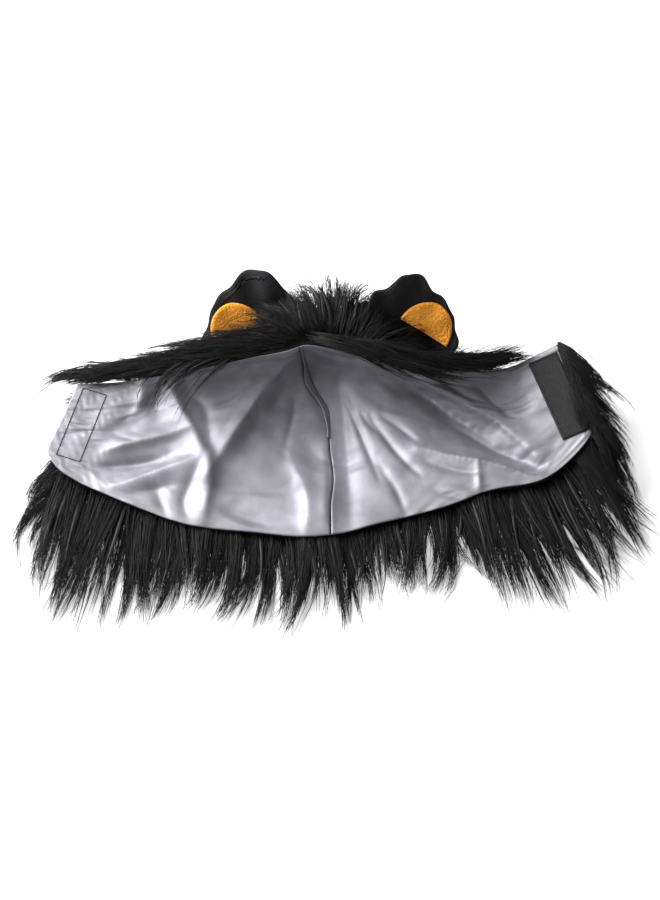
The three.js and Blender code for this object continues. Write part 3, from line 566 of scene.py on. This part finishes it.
def read_cells(cells, points):
    """Values of a table of cells at points, blended between the nearest cells."""
    place = np.clip((points[..., :2] - cover_low) / CELL, 0, np.array(cells.shape) - 1.001)
    i, j = place[..., 0].astype(int), place[..., 1].astype(int)
    s, t = place[..., 0] - i, place[..., 1] - j
    low = cells[i, j] * (1 - s) + cells[i + 1, j] * s
    high = cells[i, j + 1] * (1 - s) + cells[i + 1, j + 1] * s
    return low * (1 - t) + high * t


def spread(values, share):
    return np.interp(share, np.linspace(0, 1, len(values)), values) if len(values) > 1 else np.full(
        len(share), float(values[0]))


def lock_guides(row, rng):
    """Runs of a row's locks: points, sideways and upward directions for each step of each lock."""
    count = row["locks"]
    share = (np.arange(count) + 0.5 + rng.uniform(-0.35, 0.35, count)) / count
    across = row["run"][0][0] + (row["run"][1][0] - row["run"][0][0]) * share
    up = row["run"][0][1] + (row["run"][1][1] - row["run"][0][1]) * share
    depth = rng.uniform(*row["depth"], count) * MM
    root = under_cloth(across, up, under_lining + depth)
    outwards = math.radians(row["out"])
    outwards = np.array([math.sin(outwards), -math.cos(outwards), 0])
    root += outwards * row["past"] * MM * rng.uniform(0.65, 1.5, (count, 1))
    length = spread(row["length"], share) * MM * (1.12 - rng.beta(1.3, 2.2, count) * 0.42)
    start = spread(row["start"], share) + rng.normal(0, row["tousle"] / 3, count)
    clump = np.cumsum(rng.uniform(0.1, 0.34, count)).astype(int)
    tip = spread(row["tip"], share) + rng.normal(0, row["tousle"], count) + rng.normal(0, 10, count)[clump]
    rise = spread(row["rise"], share) + rng.normal(0, 3, count)
    fall = spread(row["fall"], share) + rng.normal(0, 4, count)
    points = [root]
    for step in range(PATH_STEPS - 1):
        t = step / (PATH_STEPS - 2)
        way = np.radians(start + (tip - start) * t * t)
        climb = np.radians(rise + (fall - rise) * t)
        move = np.stack([np.sin(way) * np.cos(climb), -np.cos(way) * np.cos(climb), np.sin(climb)], axis=1)
        following = points[-1] + move * (length / (PATH_STEPS - 1))[:, None]
        following[:, 2] = np.maximum(following[:, 2], row["thick"] * MM * 0.3 * (1 - t) + 0.6 * MM)
        points.append(following)
    points = np.stack(points, axis=1)
    middle = np.zeros((count, PATH_STEPS, 3))
    np.add.at(middle, clump, points)
    middle /= np.maximum(np.bincount(clump, minlength=count), 1)[:, None, None]
    run_share = np.linspace(0, 1, PATH_STEPS)
    points += (middle[clump] - points) * (0.6 * run_share ** 1.3)[:, None]
    wave = rng.uniform(0, 2 * np.pi, (count, 1)) + run_share * rng.uniform(3, 6, (count, 1))
    swing = np.sin(wave) - np.sin(wave[:, :1])
    tangent = unit(np.gradient(points, axis=1))
    side = unit(np.cross([0, 0, 1], tangent))
    points += side * (swing * row["wave"] * MM * run_share)[..., None]
    tangent = unit(np.gradient(points, axis=1))
    side = unit(np.cross([0, 0, 1], tangent))
    return points, side, np.cross(tangent, side)


def tube_faces(tubes, rings, sides):
    """Corners of closed tapered tubes whose points are rings of sides and then one tip."""
    size = rings * sides + 1
    k = np.arange(sides)
    following = (k + 1) % sides
    ring = np.arange(rings - 1)[:, None] * sides
    quads = np.stack([ring + k, ring + following, ring + sides + following, ring + sides + k], axis=-1)
    last = (rings - 1) * sides
    tips = np.stack([last + k, last + following, np.full(sides, rings * sides)], axis=-1)
    first = k[::-1][None]
    starts = np.arange(tubes)[:, None, None] * size
    return [(group.reshape(1, -1, group.shape[-1]) + starts).reshape(-1, group.shape[-1])
            for group in (quads, tips, first)]


def tube_points(line, side, above, sides, radius, tip):
    """Points of tubes round lines: rings of the given number of sides, and then the tip."""
    turn = np.arange(sides) * 2 * np.pi / sides
    ring = (line[:, :, None] + side[..., None, :] * (np.cos(turn) * radius)[..., None]
            + above[..., None, :] * (np.sin(turn) * radius)[..., None])
    return np.concatenate([ring.reshape(len(line), -1, 3), tip], axis=1)


HAIR_CEILING = 113 * MM
HAIR_OVER = 1 * MM  # from the satin up to the lowest hair that lies on it
HAIR_UNDER = 3 * MM  # from the satin down to the highest hair below it


def settle(points, row, lift):
    """Keeps hair on the table and on its own side of the satin."""
    height = read_cells(cover_height, points)
    covered = smooth_step(read_cells(cover_mask, points), 0.25, 0.75)
    z = points[..., 2]
    if row["over"]:
        z = z + covered * np.maximum(0, height + HAIR_OVER + lift - z)
    else:
        z = z - covered * np.maximum(0, z - height + HAIR_UNDER + lift)
    z = np.minimum(z, HAIR_CEILING - lift)
    points[..., 2] = np.maximum(z, 0.5 * MM + lift * 0.6)
    return points


rng = np.random.default_rng(20)
for row in FUR_ROWS:
    guide, side, above = lock_guides(row, rng)
    count = row["locks"]
    # the lock's body, a fluted tapered tube
    at = np.linspace(0, LOCK_REACH * (PATH_STEPS - 1) - 1, LOCK_RINGS).round().astype(int)
    girth = np.interp(np.linspace(0, 1, LOCK_RINGS), [0, 0.2, 0.6, 1], [0.3, 0.9, 0.8, 0.1])
    turn = np.arange(LOCK_SIDES) * 2 * np.pi / LOCK_SIDES
    flute = 1 + LOCK_FLUTE * np.sin(turn * 3 + rng.uniform(0, 6, (count, 1, 1)))
    reach = girth[None, :, None] * flute * MM * LOCK_GIRTH
    body = (guide[:, at, None] + side[:, at, None] * (np.cos(turn) * reach * row["width"])[..., None]
            + above[:, at, None] * (np.sin(turn) * reach * row["thick"])[..., None])
    body = settle(body, row, np.zeros(body.shape[:-1]))
    tip_point = settle(guide[:, at[-1] + 1:at[-1] + 2], row, np.zeros((count, 1)))
    points = np.concatenate([body.reshape(count, -1, 3), tip_point], axis=1)
    locks = mesh_object("locks_" + row["name"], points.reshape(-1, 3),
                        tube_faces(count, LOCK_RINGS, LOCK_SIDES), tint=np.full(points.size // 3, 0.1))
    # its strands: they gather into a few wisps, and these part towards the tip
    strands = row["strands"]
    total = count * strands
    owner = np.repeat(np.arange(count), strands)
    wisp = rng.integers(0, WISPS, total)
    wisp_turn = rng.uniform(0, 2 * np.pi, (count, WISPS))[owner, wisp]
    wisp_out = rng.uniform(0.2, 1.5, (count, WISPS))[owner, wisp]
    wisp_long = rng.uniform(0.68, 1.1, (count, WISPS))[owner, wisp]
    angle = rng.uniform(0, 2 * np.pi, total)
    out = np.sqrt(rng.uniform(0.05, 1.5, total))
    stray = rng.random(total) < row["stray"]
    reach = wisp_long * (1 - rng.beta(1.2, 2.2, total) * 0.55)
    ring_share = np.linspace(0, 1, STRAND_RINGS + 1)
    t = ring_share[None] * reach[:, None]
    place = np.clip(t, 0, 1) * (PATH_STEPS - 1)
    low = np.minimum(place.astype(int), PATH_STEPS - 2)
    part = (place - low)[..., None]
    line = guide[owner[:, None], low] * (1 - part) + guide[owner[:, None], low + 1] * part
    beyond = np.maximum(t - 1, 0) * (PATH_STEPS - 1)
    line += (guide[owner, -1] - guide[owner, -2])[:, None] * beyond[..., None]
    sides = side[owner[:, None], low]
    aboves = above[owner[:, None], low]
    joined = smooth_step(t, 0.02, 0.7) * np.where(stray, STRAY_GATHER, GATHER)[:, None]
    parted = 0.3 + 0.4 * t
    wobble = rng.normal(0, 0.7, (total, 2, 1)) * MM * t[:, None] ** 1.5
    wobble *= np.where(stray, 7, 1)[:, None, None]
    bend = rng.uniform(0, 2 * np.pi, (total, 1)) + t * rng.uniform(2, 7, (total, 1))
    frizz = (np.sin(bend) - np.sin(bend[:, :1])) * MM * np.where(stray, 3.0, 0.7)[:, None]
    fan = row["root"] + (FULL_FAN - row["root"]) * smooth_step(t, 0, 0.3)
    loose = (1 - joined) * out[:, None]
    held = joined * parted * wisp_out[:, None]
    sideways = loose * np.cos(angle)[:, None] * fan + held * np.cos(wisp_turn)[:, None]
    upwards = loose * np.sin(angle)[:, None] + held * np.sin(wisp_turn)[:, None]
    line += sides * (sideways * row["width"] / 2 * MM + wobble[:, 0] + frizz)[..., None]
    line += aboves * (upwards * row["thick"] / 2 * MM + wobble[:, 1])[..., None]
    line = settle(line, row, rng.uniform(0, 2.5, (total, 1)) * MM)
    tangent = unit(np.gradient(line, axis=1))
    across_hair = unit(np.cross(tangent, [0, 0, 1]))
    over_hair = np.cross(across_hair, tangent)
    thin = STRAND_RADIUS * np.interp(ring_share[:-1], [0, 0.6, 1], [1, 0.8, 0.4])
    thin = thin * rng.uniform(0.6, 1.1, (total, 1)) * np.where(stray, 0.6, 1)[:, None]
    points = tube_points(line[:, :-1], across_hair[:, :-1], over_hair[:, :-1], STRAND_SIDES,
                         thin[..., None], line[:, -1:])
    points[..., 2] = np.maximum(points[..., 2], 0.1 * MM)
    shade = np.repeat(rng.uniform(0, 1, (total, 1)) ** 2, points.shape[1], axis=1)
    hair = mesh_object("hair_" + row["name"], points.reshape(-1, 3),
                       tube_faces(total, STRAND_RINGS, STRAND_SIDES), tint=shade.ravel())
    for piece in (locks, hair):
        piece.data.materials.append(fur)
        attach(piece, "root")
        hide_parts("fur_shell")

# the ground and its pressed pile below the lining
GROUND_COLUMNS = 150
GROUND_ROWS = 44
first = facing_share + CLEARANCE / (2 * HALF_SPAN)
a, b = grid(GROUND_COLUMNS, GROUND_ROWS, (first, 1))
inner = np.minimum(np.minimum(b, 1 - b), np.minimum(3 * (a - first), 3 * (1 - a)))
rim = np.sin(np.pi * np.clip(1.6 * inner, 0, 0.5))
flute = np.cos(2 * np.pi * 23 * (a + (a - 0.5) * 0.15 * b))
pile = (4 + 8 * rim + flute * 1.5 * rim + rng.normal(0, 0.3, len(a)) * rim) * MM
top_points = under_cloth(a, b, under_lining)
low_points = under_cloth(a, b, under_lining + BACKING_THICKNESS + pile)
low_points[:, 2] = np.maximum(low_points[:, 2], 0)
top_faces = grid_faces(GROUND_COLUMNS, GROUND_ROWS)
offset = len(a)
rim_run = np.concatenate([
    np.arange(GROUND_COLUMNS) * GROUND_ROWS,
    (GROUND_COLUMNS - 1) * GROUND_ROWS + np.arange(1, GROUND_ROWS),
    np.arange(GROUND_COLUMNS - 2, -1, -1) * GROUND_ROWS + GROUND_ROWS - 1,
    np.arange(GROUND_ROWS - 2, 0, -1),
])
following = np.roll(rim_run, -1)
wall = np.stack([rim_run, rim_run + offset, following + offset, following], axis=1)
ground = mesh_object("fur_ground", np.vstack([top_points, low_points]),
                     [np.vstack([top_faces, top_faces[:, ::-1] + offset, wall])],
                     tint=np.full(2 * len(a), 0.05))
ground.data.materials.append(fur)
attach(ground, "root")
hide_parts("fur_shell")

# Ears
# Two layers of black fleece turned out round a thin pad, cupped and ruffled along the edge, with a
# half-round orange fleece patch appliqued in front. Their feet are sewn in behind the front edge.
EAR = dict(half_width=40 * MM, height=71 * MM, thickness=4 * MM, cup=8 * MM, ruffle=2.6 * MM, ruffles=5,
           wave=0.02)
EAR_PATCH = dict(radius=22 * MM, height=26 * MM, thickness=2 * MM, foot=29 * MM, shift=8 * MM, gap=0.9 * MM)
# outline: from the outer foot over the top to the inner foot, as shares of half_width and height
EARS = [
    dict(side="left", inner=1, lean=32, splay=26, outline=[
        (-0.8, 0), (-0.97, 0.3), (-0.94, 0.5), (-0.8, 0.62), (-0.62, 0.7), (-0.45, 0.8), (-0.2, 0.89),
        (0.1, 0.965), (0.4, 0.995), (0.7, 1), (0.93, 0.95), (1.04, 0.82), (1.07, 0.58), (1, 0.3),
        (0.8, 0)]),
    dict(side="right", inner=-1, lean=32, splay=31, outline=[
        (-0.8, 0), (-0.95, 0.36), (-0.86, 0.56), (-0.7, 0.67), (-0.5, 0.75), (-0.3, 0.82), (-0.1, 0.87),
        (0.15, 0.9), (0.4, 0.93), (0.64, 0.92), (0.82, 0.87), (0.89, 0.76), (0.96, 0.64), (1.1, 0.5),
        (1.05, 0.28), (0.8, 0)]),
]


def ear_face(x, y):
    wide = x / EAR["half_width"]
    tall = y / EAR["height"]
    out = np.minimum(1, np.hypot(wide, tall))
    wave = np.sin(2 * EAR["ruffles"] * np.arctan2(tall, wide))
    return EAR["cup"] * wide**2 + EAR["ruffle"] * wave * out**5


def rounded_layer(name, x, y, face, thickness, columns, rows, nap, rng):
    """A soft layer of the given thickness with a rounded rim, from a grid that runs out to its rim."""
    out = np.tile(np.linspace(0, 1, rows), columns)
    half = thickness / 2 * np.sqrt(np.clip(1 - np.clip((out - 0.9) / 0.1, 0, 1) ** 2, 0.0, 1))
    middle = face - thickness / 2
    fuzz = rng.normal(0, nap, (2, len(x))) * np.clip((0.995 - out) / 0.15, 0, 1)
    front = np.stack([x, y, middle + half + fuzz[0]], axis=1)
    back = np.stack([x, y, middle - half + fuzz[1]], axis=1)
    faces = grid_faces(columns, rows)
    offset = len(x)
    ends = []
    for column in (0, columns - 1):
        run = column * rows + np.arange(rows - 1)
        strip = np.stack([run, run + 1, run + 1 + offset, run + offset], axis=1)
        ends.append(strip if column == 0 else strip[:, ::-1])
    piece = mesh_object(name, np.vstack([front, back]),
                        [np.vstack([faces[:, ::-1], faces + offset, *ends])])
    weld_and_face_out(piece)
    return piece


def weld_and_face_out(piece):
    select_only(piece)
    bpy.ops.object.mode_set(mode="EDIT")
    bpy.ops.mesh.select_all(action="SELECT")
    bpy.ops.mesh.remove_doubles(threshold=0.00002)
    bpy.ops.mesh.normals_make_consistent(inside=False)
    bpy.ops.object.mode_set(mode="OBJECT")
    bpy.ops.object.shade_smooth()


def fleece_material(name, low, high, scale, sheen):
    material, shader = new_material(name)
    place = add_node(material, "TexCoord", {}).outputs["Object"]
    curls = add_node(material, "TexVoronoi", {"Scale": scale, "Vector": place})
    fibres = add_node(material, "TexNoise", {"Scale": scale * 2.2, "Detail": 5, "Vector": place})
    nap = add_node(material, "Math", {0: curls.outputs["Distance"], 1: fibres.outputs["Fac"]})
    nap.operation = "ADD"
    base_colour = add_ramp(material, nap.outputs["Value"], (0.35, low), (1, high))
    bump = add_node(material, "Bump", {
        "Strength": 0.8, "Distance": 0.8 * MM, "Height": nap.outputs["Value"]})
    set_inputs(material, shader, {
        "Roughness": 0.92, "Specular IOR Level": 0.25, "Sheen Weight": sheen, "Sheen Roughness": 0.55,
        "Base Color": base_colour, "Normal": bump.outputs["Normal"]})
    return material


black_fleece = fleece_material("black_fleece", (0.006, 0.006, 0.007), (0.013, 0.012, 0.014), 900, 0.05)
orange_fleece = fleece_material("orange_fleece", (0.64, 0.165, 0.006), (1.0, 0.4, 0.04), 560, 0.12)


def stand_ear(points, ear):
    """Turns points from an ear's own frame to its lean and splay, and mirrors the right ear."""
    inner = ear["inner"]
    points = points * [inner, 1, 1]
    splay = inner * math.radians(ear["splay"])
    lean = math.radians(90 - ear["lean"])
    turned = points @ np.array([
        [math.cos(splay), math.sin(splay), 0], [-math.sin(splay), math.cos(splay), 0], [0, 0, 1]])
    return turned @ np.array([
        [1, 0, 0], [0, math.cos(lean), math.sin(lean)], [0, -math.sin(lean), math.cos(lean)]])


def points_of(piece):
    points = np.empty(len(piece.data.vertices) * 3)
    piece.data.vertices.foreach_get("co", points)
    return points.reshape(-1, 3)


def move_points(piece, points):
    piece.data.vertices.foreach_set("co", points.ravel())
    piece.data.update()


def put_in_box(pieces, node):
    """Moves the mesh points of pieces so that the first one's box is centred on the node's box."""
    first = points_of(pieces[0])
    low, high = (np.array(corner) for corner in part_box(node))
    shift = (low + high) / 2 - (first.min(axis=0) + first.max(axis=0)) / 2
    for piece in pieces:
        move_points(piece, points_of(piece) + shift)


def stand_piece(piece, ear):
    if ear["inner"] < 0:
        piece.data.flip_normals()
    move_points(piece, stand_ear(points_of(piece), ear))


EAR_COLUMNS = 130
EAR_ROWS = 34
EAR_NAP = 0.08 * MM
PATCH_COLUMNS = 100
PATCH_ROWS = 30
PATCH_NAP = 0.12 * MM
PATCH_DOME = 0.8 * MM
for ear in EARS:
    share, out = grid(EAR_COLUMNS, EAR_ROWS)
    ear_outline = np.array([(*place, 0) for place in ear["outline"]])
    rim_points = curve_through(ear_outline * [EAR["half_width"], EAR["height"], 0], share)
    turn = np.arctan2(rim_points[:, 1], rim_points[:, 0])
    wave = EAR["wave"] * (np.sin(11 * turn) + 0.6 * np.sin(19 * turn + 1))
    waved = out * (1 + wave * out ** 3)
    x, y = rim_points[:, 0] * waved, rim_points[:, 1] * waved
    blade = rounded_layer("fleece_ear_" + ear["side"], x, y, ear_face(x, y), EAR["thickness"],
                          EAR_COLUMNS, EAR_ROWS, EAR_NAP, rng)
    share, out = grid(PATCH_COLUMNS, PATCH_ROWS)
    turn = np.pi * (1 - share)
    x = np.cos(turn) * EAR_PATCH["radius"] * out - EAR_PATCH["shift"]
    y = EAR_PATCH["foot"] + np.sin(turn) * EAR_PATCH["height"] * out
    dome = PATCH_DOME * (1 - out ** 2)
    patch = rounded_layer("fleece_patch_" + ear["side"], x, y,
                          ear_face(x, y) + EAR_PATCH["gap"] + EAR_PATCH["thickness"] + dome,
                          EAR_PATCH["thickness"] + EAR_PATCH["gap"], PATCH_COLUMNS, PATCH_ROWS,
                          PATCH_NAP, rng)
    for piece, material, node, slot in (
            (blade, black_fleece, "ear_" + ear["side"], "black_fleece"),
            (patch, orange_fleece, "ear_patch_" + ear["side"], "orange_fleece")):
        stand_piece(piece, ear)
        piece.data.materials.append(material)
        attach(piece, "root")
        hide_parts(node)
    put_in_box([blade, patch], "ear_" + ear["side"])

# Closure tapes
# Woven black hook tape sewn on the lining at the right end, and loop tape sewn under the left end.
tape_black, shader = new_material("black_tape")
woven_place = add_node(tape_black, "TexCoord", {}).outputs["Object"]
ribs = add_node(tape_black, "TexNoise", {"Scale": 700, "Detail": 4, "Vector": woven_place})
base_colour = add_ramp(tape_black, ribs.outputs["Fac"], (0.35, (0.004, 0.004, 0.005)), (0.75, (0.02, 0.019, 0.022)))
bump = add_node(tape_black, "Bump", {"Strength": 0.7, "Distance": 0.4 * MM, "Height": ribs.outputs["Fac"]})
set_inputs(tape_black, shader, {
    "Roughness": 0.62, "Specular IOR Level": 0.4, "Sheen Weight": 0.15, "Base Color": base_colour,
    "Normal": bump.outputs["Normal"]})

hook_place, loop_place = tape_places
TAPES = [
    dict(name="hook_tape", node="hook_strip", slot="hook_tape", place=hook_place, lift=CLEARANCE,
         outwards=1),
    dict(name="loop_tape", node="loop_strip", slot="loop_tape", place=loop_place,
         lift=under_lining + 1 * MM + CLEARANCE, outwards=-1),
]
TAPE_BASE = 0.7 * MM
TAPE_COLUMNS = 12
TAPE_ROWS = 112
SELVAGE_RISE = 0.25 * MM
RIB_RISE = 0.12 * MM
RIB_PITCH = 1.3 * MM
HOOK_RINGS = 5
HOOK_SIDES = 3
HOOK_RADIUS = 0.16 * MM
HOOK_BEND = 0.42 * MM
for tape in TAPES:
    place = tape["place"]
    s, t = grid(TAPE_COLUMNS, TAPE_ROWS, (-0.5, 0.5), (-0.5, 0.5))
    selvage = SELVAGE_RISE * (np.abs(s) > 0.46)
    rib = RIB_RISE * np.cos(t * place["length"] / RIB_PITCH * 2 * np.pi)
    level = tape["lift"] + TAPE_BASE + selvage + rib
    points = (place["centre"] + np.outer(s * place["width"], place["wide"])
              + np.outer(t * place["length"], place["long"])
              + np.outer(level * tape["outwards"], place["normal"]))
    faces = grid_faces(TAPE_COLUMNS, TAPE_ROWS)
    base = mesh_object(tape["name"], points, [faces if tape["outwards"] > 0 else faces[:, ::-1]])
    apply_modifier(base, "SOLIDIFY", thickness=TAPE_BASE, offset=-1)
    base.data.materials.append(tape_black)
    # hooks or loops: small bent tubes in rows
    across_count, along_count = (15, 46) if tape["outwards"] > 0 else (10, 30)
    i, j = grid(across_count, along_count, (-0.42, 0.42), (-0.485, 0.485))
    hooks = len(i)
    bend = np.linspace(0, 1, HOOK_RINGS)
    tall = place["thickness"] - TAPE_BASE
    lean = rng.choice([-1, 1], hooks)
    rise = tape["outwards"] * place["normal"]
    foot = (place["centre"] + np.outer(i * place["width"], place["wide"])
            + np.outer(j * place["length"], place["long"]) + rise * (tape["lift"] + TAPE_BASE * 0.8))
    curl = np.sin(bend * np.pi * 0.75)
    line = (foot[:, None] + rise * (tall * curl)[:, None]
            + place["wide"] * (lean[:, None] * HOOK_BEND * (1 - np.cos(bend * np.pi)))[..., None])
    points = tube_points(line, place["long"], place["wide"], HOOK_SIDES, HOOK_RADIUS,
                         line[:, -1:] + rise * -0.1 * MM)
    barbs = mesh_object(tape["name"] + "_pile", points.reshape(-1, 3),
                        tube_faces(hooks, HOOK_RINGS, HOOK_SIDES))
    weld_and_face_out(barbs)
    barbs.data.materials.append(tape_black)
    for piece in (base, barbs):
        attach(piece, "root")
        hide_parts(tape["node"])

# Black stitching
# The loop tape's stitches show on the lining as a black rectangle. Others hold the hook tape's edges.
thread, shader = new_material("black_thread")
thread_place = add_node(thread, "TexCoord", {}).outputs["Object"]
twist = add_node(thread, "TexNoise", {"Scale": 1500, "Vector": thread_place})
base_colour = add_ramp(thread, twist.outputs["Fac"], (0, (0.004, 0.004, 0.005)), (1, (0.02, 0.02, 0.022)))
set_inputs(thread, shader, {"Roughness": 0.5, "Base Color": base_colour})
STITCH_PITCH = 2.6 * MM
STITCH_GAP = 0.35 * MM
STITCH_RADIUS = 0.32 * MM
STITCH_RINGS = 6
STITCH_SIDES = 6


def stitch_line(name, corners, lift):
    """A row of stitches through corners, each a short thread that dips at its two ends."""
    parts = []
    for start, end in zip(corners, corners[1:]):
        count = max(1, int(round(np.linalg.norm(end - start) / STITCH_PITCH)))
        step = (end - start) / count
        trim = step / np.linalg.norm(step) * STITCH_GAP
        for k in range(count):
            first, last = start + step * k + trim, start + step * (k + 1)
            s = np.linspace(0, 1, STITCH_RINGS)[:, None]
            swell = np.sin(np.pi * s) ** 0.5 * 0.6 + 0.1
            parts.append(first + (last - first) * s + lift * swell * STITCH_RADIUS * 1.6)
    lines = np.stack(parts)
    tangent = unit(np.gradient(lines, axis=1))
    side = unit(np.cross(tangent, lift))
    tip = lines[:, -1:] + tangent[:, -1:] * STITCH_RADIUS * 0.3
    points = tube_points(lines, side, np.cross(side, tangent), STITCH_SIDES, STITCH_RADIUS, tip)
    stitches = mesh_object(name, points.reshape(-1, 3), tube_faces(len(lines), STITCH_RINGS, STITCH_SIDES))
    weld_and_face_out(stitches)
    stitches.data.materials.append(thread)
    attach(stitches, "root")


def tape_corners(place, inset, lift):
    """Corners of a rectangle inside a tape's outline, from corner to corner and back to the first."""
    half_wide = place["width"] / 2 - inset
    half_long = place["length"] / 2 - inset
    middle = place["centre"] + place["normal"] * lift
    turns = ((-1, 1), (1, 1), (1, -1), (-1, -1), (-1, 1))
    return [middle + place["wide"] * half_wide * s + place["long"] * half_long * t for s, t in turns]


stitch_line("loop_tape_stitches", tape_corners(loop_place, 0, 0.1 * MM), loop_place["normal"])
stitch_line("hook_tape_stitches", tape_corners(hook_place, 1.2 * MM, 1.3 * MM), hook_place["normal"])

# Table and light
# A pale table lit faintly from below, two wide lamps on the left, a wide one above and weak fill.
bpy.ops.object.select_all(action="DESELECT")
bpy.ops.mesh.primitive_plane_add(size=14, location=(0, 0, 0))
table = bpy.context.active_object
table.name = "table"
table_white, shader = new_material("table_white")
set_inputs(table_white, shader, {
    "Base Color": (0.93, 0.93, 0.935, 1), "Roughness": 0.85, "Emission Color": (1, 1, 1, 1),
    "Emission Strength": 0.45})
table.data.materials.append(table_white)
LAMPS = [
    dict(name="key", place=(-1.3, 0.9, 1.15), size=1.2, power=52),
    dict(name="left", place=(-1.6, 0.1, 0.95), size=1.3, power=34),
    dict(name="fill", place=(0.9, -1.4, 1.7), size=2.0, power=4),
    dict(name="top", place=(0.0, 0.5, 2.2), size=2.0, power=16),
]
for lamp in LAMPS:
    data = bpy.data.lights.new(lamp["name"], "AREA")
    data.energy = lamp["power"]
    data.size = lamp["size"]
    light = bpy.data.objects.new(lamp["name"], data)
    light.location = lamp["place"]
    aim = np.array(lamp["place"]) - np.array([0, 0, 0.02])
    light.rotation_euler = (
        math.acos(aim[2] / np.linalg.norm(aim)), 0, math.atan2(aim[1], aim[0]) + math.pi / 2)
    bpy.context.scene.collection.objects.link(light)
world = bpy.data.worlds.new("studio")
world.use_nodes = True
world.node_tree.nodes["Background"].inputs["Color"].default_value = (1, 1, 1, 1)
world.node_tree.nodes["Background"].inputs["Strength"].default_value = 0.1
bpy.context.scene.world = world
bpy.context.scene.view_settings.view_transform = "Standard"
